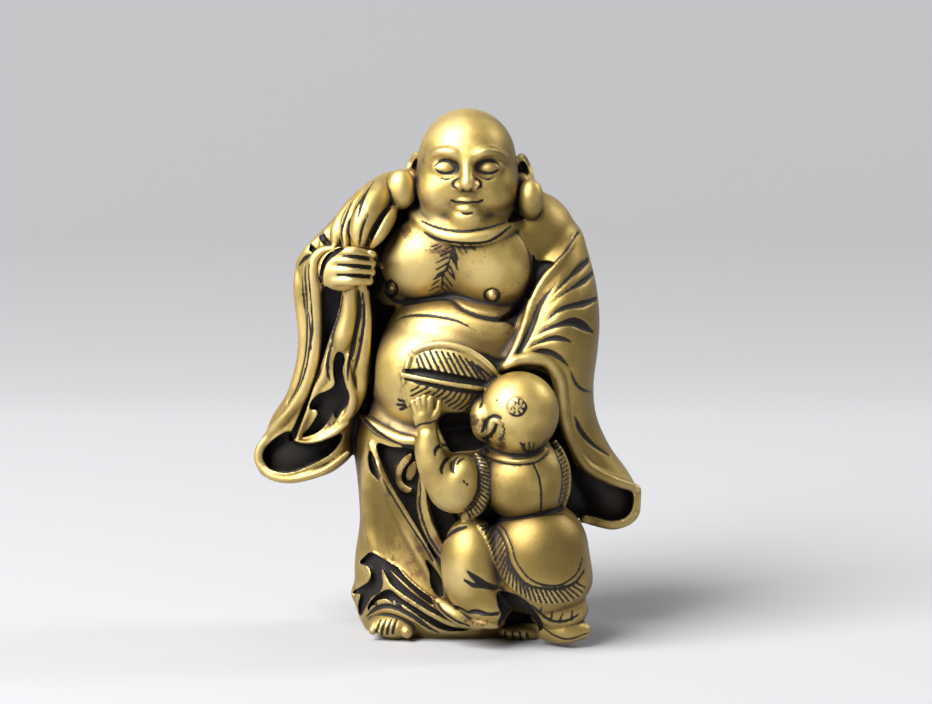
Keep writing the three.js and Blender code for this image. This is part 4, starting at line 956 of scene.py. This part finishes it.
# APRON
# An apron tied over the trousers, with a curved and fringed border. It is a thin layer of wax, and the
# fringe is chased between the border's two lines.
outer = [
    (5.1, 20.7), (6.4, 18.6), (7.5, 16.0), (8.2, 13.5), (9.5, 10.7), (11.2, 8.7), (13.8, 6.8), (16.6, 5.7),
    (19.8, 5.5), (22.8, 6.1), (24.7, 7.2), (25.8, 9.1),
]
inner = [
    (7.9, 20.5), (9.2, 19.2), (10.5, 16.4), (11.2, 13.5), (12.5, 11.3), (14.2, 9.5), (16.5, 8.7),
    (19.1, 8.5), (21.6, 8.9), (23.7, 10.0), (25.1, 11.9),
]
upper = [(25.9, 11.7), (25.4, 16.2), (23.7, 20.7), (21.5, 22.5), (16.8, 22.1), (9.4, 21.0)]
layer(outer + upper, 0.6, 0.3, 2.0, smoothed=False)
chase(inner, 0.18)
chase([
    (9.2, 20.7), (10.3, 19.3), (11.5, 16.5), (12.3, 13.8), (13.8, 11.5), (15.5, 10.0), (17.8, 9.2),
    (20.4, 9.2), (22.4, 10.2), (23.9, 11.7), (24.7, 14.1),
], 0.14)
rungs(outer, inner, 29, 0.14, -0.09)

# UNDERSIDE
# The foot of the casting. It is plain brass, ground flat so that the figure stands.
where, x, y, z = block((-50, -50, -5), (50, 50, 3))
wax[where] = np.maximum(wax[where], -z)

# CASTING
# The finished wax is cast in brass in one piece. Its surface is taken off the field and thinned where it is
# flat, to a count of triangles that still holds the finest chased line.
grid = openvdb.FloatGrid()
grid.copyFromArray(wax)
places, quads = grid.convertToQuads(isovalue=0.0)
surface = bpy.data.meshes.new("brass_figure")
surface.vertices.add(len(places))
surface.vertices.foreach_set("co", (corner + grain * places).astype(np.float32).ravel())
surface.loops.add(4 * len(quads))
surface.loops.foreach_set("vertex_index", quads[:, ::-1].astype(np.int32).ravel())
surface.polygons.add(len(quads))
surface.polygons.foreach_set("loop_start", np.arange(0, 4 * len(quads), 4, dtype=np.int32))
surface.update(calc_edges=True)
figure = bpy.data.objects.new("brass_figure", surface)
bpy.context.scene.collection.objects.link(figure)
most_triangles = 196000
thin = figure.modifiers.new("thin", "DECIMATE")
thin.ratio = min(1.0, most_triangles / (2 * len(quads)))
cast = bpy.data.meshes.new_from_object(figure.evaluated_get(bpy.context.evaluated_depsgraph_get()))
figure.modifiers.remove(thin)
figure.data = cast
bpy.data.meshes.remove(surface)
cast.name = "brass_figure"
clean = bmesh.new()
clean.from_mesh(cast)
bmesh.ops.recalc_face_normals(clean, faces=clean.faces)
for face in clean.faces:
    face.smooth = True
clean.to_mesh(cast)
clean.free()

# PATINA
# The brass is darkened all over and then rubbed back, so that black stays in the hollows and the high
# places are bright. How closed in the surface is, at three sizes, is read off the field into the mesh.
def softened(field, reach):
    """The field blurred over a reach in grains, by three sliding means along each side."""
    half = max(1, round(reach))
    for axis in range(3):
        for _ in range(3):
            pad = [(half + 1, half) if k == axis else (0, 0) for k in range(3)]
            sums = np.cumsum(np.pad(field, pad, mode="edge"), axis=axis, dtype=np.float64)
            upper = np.take(sums, range(2 * half + 1, sums.shape[axis]), axis=axis)
            lower = np.take(sums, range(sums.shape[axis] - 2 * half - 1), axis=axis)
            field = ((upper - lower) / (2 * half + 1)).astype(np.float32)
    return field


spots = np.empty(3 * len(cast.vertices), np.float32)
cast.vertices.foreach_get("co", spots)
spots = spots.reshape(-1, 3).astype(float)
metal = np.clip(0.5 - wax / grain, 0, 1)
readings = {"fine": (metal, 0.45), "middle": (metal, 1.1), "broad": (metal, 3.0), "left black": (black, 0)}
for name, (field, reach) in readings.items():
    closed_in = read(spots, softened(field, reach / grain) if reach else field)
    cast.attributes.new(name, "FLOAT", "POINT").data.foreach_set("value", closed_in.astype(np.float32))
# where dirt collects: the place and the size of each patch in the front view, in millimetres
fouled = np.zeros(len(spots))
for (across, up), (wide, high) in (
    ((-11.2, 19.9), (1.6, 4.0)), ((-11.6, 13.9), (2.4, 2.0)), ((-7.8, 76.2), (1.4, 1.6)),
    ((3.0, 43.1), (5.0, 1.6)), ((9.4, 39.2), (1.0, 3.0)), ((8.2, 25.1), (0.8, 3.4)),
    ((15.5, 4.4), (3.2, 1.4)), ((-22.4, 41.6), (2.6, 2.0)), ((-4.7, 8.3), (4.0, 1.6)),
    ((-1.9, 73.2), (4.0, 0.7)), ((-10.1, 30.7), (2.0, 1.2)), ((4.7, 5.7), (3.4, 0.8)),
):
    reach = ((spots[:, 0] - across) / wide) ** 2 + ((spots[:, 2] - up) / high) ** 2
    fouled = np.maximum(fouled, np.exp(-reach) * (spots[:, 1] < -5))
# patches of painted highlight where the sign is positive and of painted shade where it is negative: the
# place and the size of each in the front view, in millimetres
painted_highlight_and_shade = np.zeros(len(spots))
for (across, up), (wide, high), sign in (
    ((-7.8, 68.5), (7, 6), 1), ((7.1, 69.6), (5, 4), 1), ((-0.9, 96.5), (5, 5), 1),
    ((-3.7, 81.2), (4, 3), 1), ((-3.7, 56.9), (8, 3), 1), ((-9.7, 43.8), (4, 8), 1),
    ((-20.6, 68.1), (4, 4), 1), ((-24.7, 56.9), (3, 12), 1), ((0.9, 13.9), (4, 4), 1),
    ((0.4, 27.9), (4, 4), 1), ((10.9, 44.8), (4, 4), 1), ((17.8, 11.7), (5, 3), 1),
    ((10.9, 28.9), (5, 6), -0.6), ((19.1, 27.0), (2.5, 5), -1), ((19.6, 17.7), (9, 7), -0.9),
    ((13.5, 20.5), (4, 2.5), -0.6), ((16.8, 39.2), (4.5, 6), -1), ((10.9, 92.4), (5, 12), -1),
    ((17.8, 74.1), (8, 8), -1), ((28.0, 38.2), (6, 14), -1), ((24.3, 58.8), (6, 10), -1),
    ((-12.1, 25.1), (4, 10), -1), ((-28.0, 39.2), (4, 6), -1), ((-1.9, 44.8), (5, 4), -1),
):
    reach = ((spots[:, 0] - across) / wide) ** 2 + ((spots[:, 2] - up) / high) ** 2
    # each patch adds painted highlight or painted shade by its sign
    painted_highlight_and_shade = painted_highlight_and_shade + sign * np.exp(-reach) * (spots[:, 1] < 2)
cast.attributes.new("fouled", "FLOAT", "POINT").data.foreach_set("value", fouled.astype(np.float32))
cast.attributes.new("painted_highlight_and_shade", "FLOAT", "POINT").data.foreach_set("value", painted_highlight_and_shade.astype(np.float32))
part_middle = np.array([0.355, 2.46, 0.0])
cast.vertices.foreach_set("co", ((spots + part_middle) / 1000).astype(np.float32).ravel())
cast.update()

patina = bpy.data.materials.new("patinated brass")
patina.use_nodes = True
nodes, links = patina.node_tree.nodes, patina.node_tree.links
nodes.clear()


def reckon(operation, *inputs):
    """A sum, product or other working of two values over the surface."""
    made = nodes.new("ShaderNodeMath")
    made.operation = operation
    for k, value in enumerate(inputs):
        if isinstance(value, (int, float)):
            made.inputs[k].default_value = value
        else:
            links.new(value, made.inputs[k])
    return made.outputs[0]


def ramp(value, low, high, to_low=0.0, to_high=1.0):
    """A value taken smoothly from one range to another."""
    made = nodes.new("ShaderNodeMapRange")
    made.interpolation_type = "SMOOTHSTEP"
    links.new(value, made.inputs[0])
    for k, number in enumerate((low, high, to_low, to_high)):
        made.inputs[k + 1].default_value = number
    return made.outputs[0]


def blended(share, first, second):
    """The second colour laid over the first, by a share."""
    made = nodes.new("ShaderNodeMix")
    made.data_type = "RGBA"
    sockets = [s for s in made.inputs if s.enabled]
    for socket, value in zip(sockets, (share, first, second)):
        if isinstance(value, (int, float, tuple)):
            socket.default_value = value
        else:
            links.new(value, socket)
    return next(s for s in made.outputs if s.enabled)


def noise(scale, detail, rough=0.5):
    """Cloudy variation through the metal."""
    made = nodes.new("ShaderNodeTexNoise")
    made.inputs["Scale"].default_value = scale
    made.inputs["Detail"].default_value = detail
    made.inputs["Roughness"].default_value = rough
    links.new(place, made.inputs["Vector"])
    return made.outputs[0]


place = nodes.new("ShaderNodeTexCoord").outputs["Object"]
attribute = {}
for name in [*readings, "fouled", "painted_highlight_and_shade"]:
    reader = nodes.new("ShaderNodeAttribute")
    reader.attribute_name = name
    attribute[name] = reader.outputs["Fac"]
cloud = noise(260, 5)
wander = reckon("MULTIPLY", reckon("SUBTRACT", cloud, 0.5), 0.10)


def hollowness(reach, low, high):
    """How far a place lies in a hollow of one size, with a wandering edge."""
    return ramp(reckon("ADD", attribute[reach], wander), low, high)


tan = (0.62, 0.46, 0.155, 1)
pale = (0.77, 0.61, 0.28, 1)
olive = (0.31, 0.22, 0.055, 1)
umber = (0.15, 0.088, 0.024, 1)
painted_shade_tone = (0.20, 0.135, 0.036, 1)
brown = (0.16, 0.065, 0.035, 1)
rust = (0.085, 0.040, 0.020, 1)
soot = (0.012, 0.0095, 0.008, 1)
brass = blended(0.55, blended(ramp(cloud, 0.35, 0.68), olive, tan), tan)
worn = ramp(attribute["fine"], 0.47, 0.36)
brass = blended(reckon("MULTIPLY", worn, 0.5), brass, pale)
# patina round the hollows, partly painted shade: olive near the middle-sized hollows and umber over broad
# closed-in places
patina_and_shade_near_hollows = hollowness("middle", 0.49, 0.60)
brass = blended(reckon("MULTIPLY", patina_and_shade_near_hollows, 0.6), brass, olive)
brass = blended(reckon("MULTIPLY", hollowness("broad", 0.41, 0.58), 0.85), brass, umber)
# painted shade: surfaces that face right, back or down, and the lowest part of the figure, are darkened
# towards umber
facing = nodes.new("ShaderNodeVectorMath")
facing.operation = "DOT_PRODUCT"
links.new(nodes.new("ShaderNodeTexCoord").outputs["Normal"], facing.inputs[0])
facing.inputs[1].default_value = (0.80, 0.45, -0.40)
painted_side_shade = ramp(reckon("ADD", facing.outputs["Value"], reckon("MULTIPLY", wander, 3.0)), 0.05, 0.85)
height = nodes.new("ShaderNodeSeparateXYZ")
links.new(place, height.inputs[0])
painted_low_shade = ramp(reckon("ADD", height.outputs["Z"], reckon("MULTIPLY", wander, 0.15)), 0.046, 0.020)
painted_side_and_low_shade = reckon("MAXIMUM", reckon("MULTIPLY", painted_side_shade, 0.85), reckon("MULTIPLY", painted_low_shade, 0.42))
# painted shade laid over the brass on the side turned from the light and low down
brass = blended(painted_side_and_low_shade, brass, umber)
# brown stains, olive patches and a dry crust where dirt collects
stain = reckon("MULTIPLY", ramp(noise(210, 8, 0.8), 0.52, 0.60), ramp(attribute["broad"], 0.40, 0.48))
brass = blended(reckon("MULTIPLY", stain, 0.75), brass, brown)
brass = blended(reckon("MULTIPLY", ramp(noise(75, 4, 0.6), 0.50, 0.66), 0.38), brass, olive)
crust = reckon("ADD", attribute["fouled"], reckon("MULTIPLY", noise(1300, 7, 0.75), 2.6))
brass = blended(reckon("MULTIPLY", ramp(crust, 1.75, 2.15), 0.85), brass, rust)
# painted highlight, pale on the bright patches, and painted shade, dull on the dark ones
painted_light_level = reckon("ADD", attribute["painted_highlight_and_shade"], reckon("MULTIPLY", wander, 4.0))
brass = blended(ramp(painted_light_level, 0.1, 1.0, 0.0, 0.5), brass, pale)
brass = blended(ramp(painted_light_level, -0.05, -0.9, 0.0, 0.8), brass, painted_shade_tone)
# black in the hollows and along every chased line
fine_or_middle = reckon("MAXIMUM", hollowness("fine", 0.53, 0.63), hollowness("middle", 0.54, 0.66))
broad_or_left = reckon("MAXIMUM", hollowness("broad", 0.56, 0.72), hollowness("left black", 0.25, 0.6))
dark = reckon("MAXIMUM", fine_or_middle, broad_or_left)
brass = blended(dark, brass, soot)

skin = nodes.new("ShaderNodeBsdfPrincipled")
skin.inputs["Specular IOR Level"].default_value = 0.28
skin.inputs["Coat Roughness"].default_value = 0.38
links.new(brass, skin.inputs["Base Color"])
links.new(reckon("SUBTRACT", 1.0, reckon("MULTIPLY", dark, 0.9)), skin.inputs["Metallic"])
links.new(reckon("MULTIPLY", reckon("SUBTRACT", 1.0, dark), 0.2), skin.inputs["Coat Weight"])
satin = ramp(noise(2400, 3, 0.6), 0.3, 0.7, 0.49, 0.57)
links.new(reckon("ADD", satin, reckon("MULTIPLY", patina_and_shade_near_hollows, 0.06)), skin.inputs["Roughness"])
grainy = nodes.new("ShaderNodeBump")
grainy.inputs["Strength"].default_value = 0.25
grainy.inputs["Distance"].default_value = 0.00006
pitting = reckon("ADD", noise(3600, 2, 0.6), reckon("MULTIPLY", noise(700, 3), 1.5))
links.new(pitting, grainy.inputs["Height"])
links.new(grainy.outputs["Normal"], skin.inputs["Normal"])
finish = nodes.new("ShaderNodeOutputMaterial")
links.new(skin.outputs["BSDF"], finish.inputs["Surface"])
cast.materials.clear()
cast.materials.append(patina)
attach(figure, "root")
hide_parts("monk_with_child")

# FLOOR
# A sheet of pale matt paper under the figure that curves up behind it. It is one folded sheet, and its
# colour is painted darker towards the back as painted shade.
sweep = bmesh.new()
path = [(-1.2, 0.0), (0.3, 0.0)]
path += [(0.3 + 0.5 * math.sin(a), 0.5 - 0.5 * math.cos(a)) for a in np.radians(np.arange(6, 91, 6))]
path += [(0.8, 1.6)]
rows = [[sweep.verts.new((x, y, z)) for x in (-1.8, 1.8)] for y, z in path]
for (a, b), (c, d) in zip(rows[:-1], rows[1:]):
    sweep.faces.new((a, b, d, c)).smooth = True
paper_mesh = bpy.data.meshes.new("floor")
sweep.to_mesh(paper_mesh)
sweep.free()
floor = bpy.data.objects.new("floor", paper_mesh)
bpy.context.scene.collection.objects.link(floor)
paper = bpy.data.materials.new("pale paper")
paper.use_nodes = True
sheet = paper.node_tree.nodes["Principled BSDF"]
painted_floor_falloff = paper.node_tree.nodes.new("ShaderNodeValToRGB")
apart = paper.node_tree.nodes.new("ShaderNodeSeparateXYZ")
measure = paper.node_tree.nodes.new("ShaderNodeTexCoord")
paper.node_tree.links.new(measure.outputs["Object"], apart.inputs[0])
paper.node_tree.links.new(apart.outputs["Y"], painted_floor_falloff.inputs[0])
paper.node_tree.links.new(painted_floor_falloff.outputs[0], sheet.inputs["Base Color"])
painted_falloff_stops = painted_floor_falloff.color_ramp.elements
# painted shade: the paper's colour steps down from front to back
painted_falloff_stops[0].position, painted_falloff_stops[0].color = 0.25, (0.355, 0.355, 0.365, 1)
painted_falloff_stops[1].position, painted_falloff_stops[1].color = 0.46, (0.245, 0.245, 0.253, 1)
sheet.inputs["Roughness"].default_value = 0.9
paper_mesh.materials.append(paper)

# CAMERA AND LIGHT
# The camera stands at the eye point that the lines are drawn from. A large soft box stands high on the
# left, with weak ones on the right, overhead and on the paper behind.
picture_width, focal_pixels = 932, 3210
camera_data = bpy.data.cameras.new("camera")
camera_data.sensor_width = 36
camera_data.lens = camera_data.sensor_width * focal_pixels / picture_width
camera_data.clip_end = 10
camera = bpy.data.objects.new("camera", camera_data)
camera.location = (eye + part_middle) / 1000
camera.rotation_euler = (math.radians(90) - look_down, 0, 0)
bpy.context.scene.collection.objects.link(camera)
bpy.context.scene.camera = camera


def soft_box(name, place, aim, size, power):
    """A lamp with a square front, turned to what it lights."""
    data = bpy.data.lights.new(name, "AREA")
    data.shape = "RECTANGLE"
    data.size, data.size_y = size
    data.energy = power
    lamp = bpy.data.objects.new(name, data)
    lamp.location = place
    away = np.array(place) - np.array(aim)
    lamp.rotation_euler = (
        math.acos(away[2] / np.linalg.norm(away)), 0, math.atan2(away[1], away[0]) + math.pi / 2,
    )
    bpy.context.scene.collection.objects.link(lamp)


soft_box("key", (-0.70, -0.62, 0.92), (0, 0, 0.06), (0.95, 0.95), 52.0)
soft_box("fill", (0.62, -0.55, 0.22), (0, 0, 0.05), (0.22, 0.5), 0.4)
soft_box("backdrop", (0.85, 0.25, 0.75), (0.45, 0.85, 0.25), (0.4, 0.4), 8.0)
soft_box("top", (0.05, 0.10, 0.9), (0, 0, 0.05), (0.5, 0.3), 1.2)
world = bpy.data.worlds.new("studio")
bpy.context.scene.world = world
world.use_nodes = True
world.node_tree.nodes["Background"].inputs[0].default_value = (0.95, 0.96, 1.0, 1)
world.node_tree.nodes["Background"].inputs[1].default_value = 0.10
bpy.context.scene.view_settings.view_transform = "Standard"
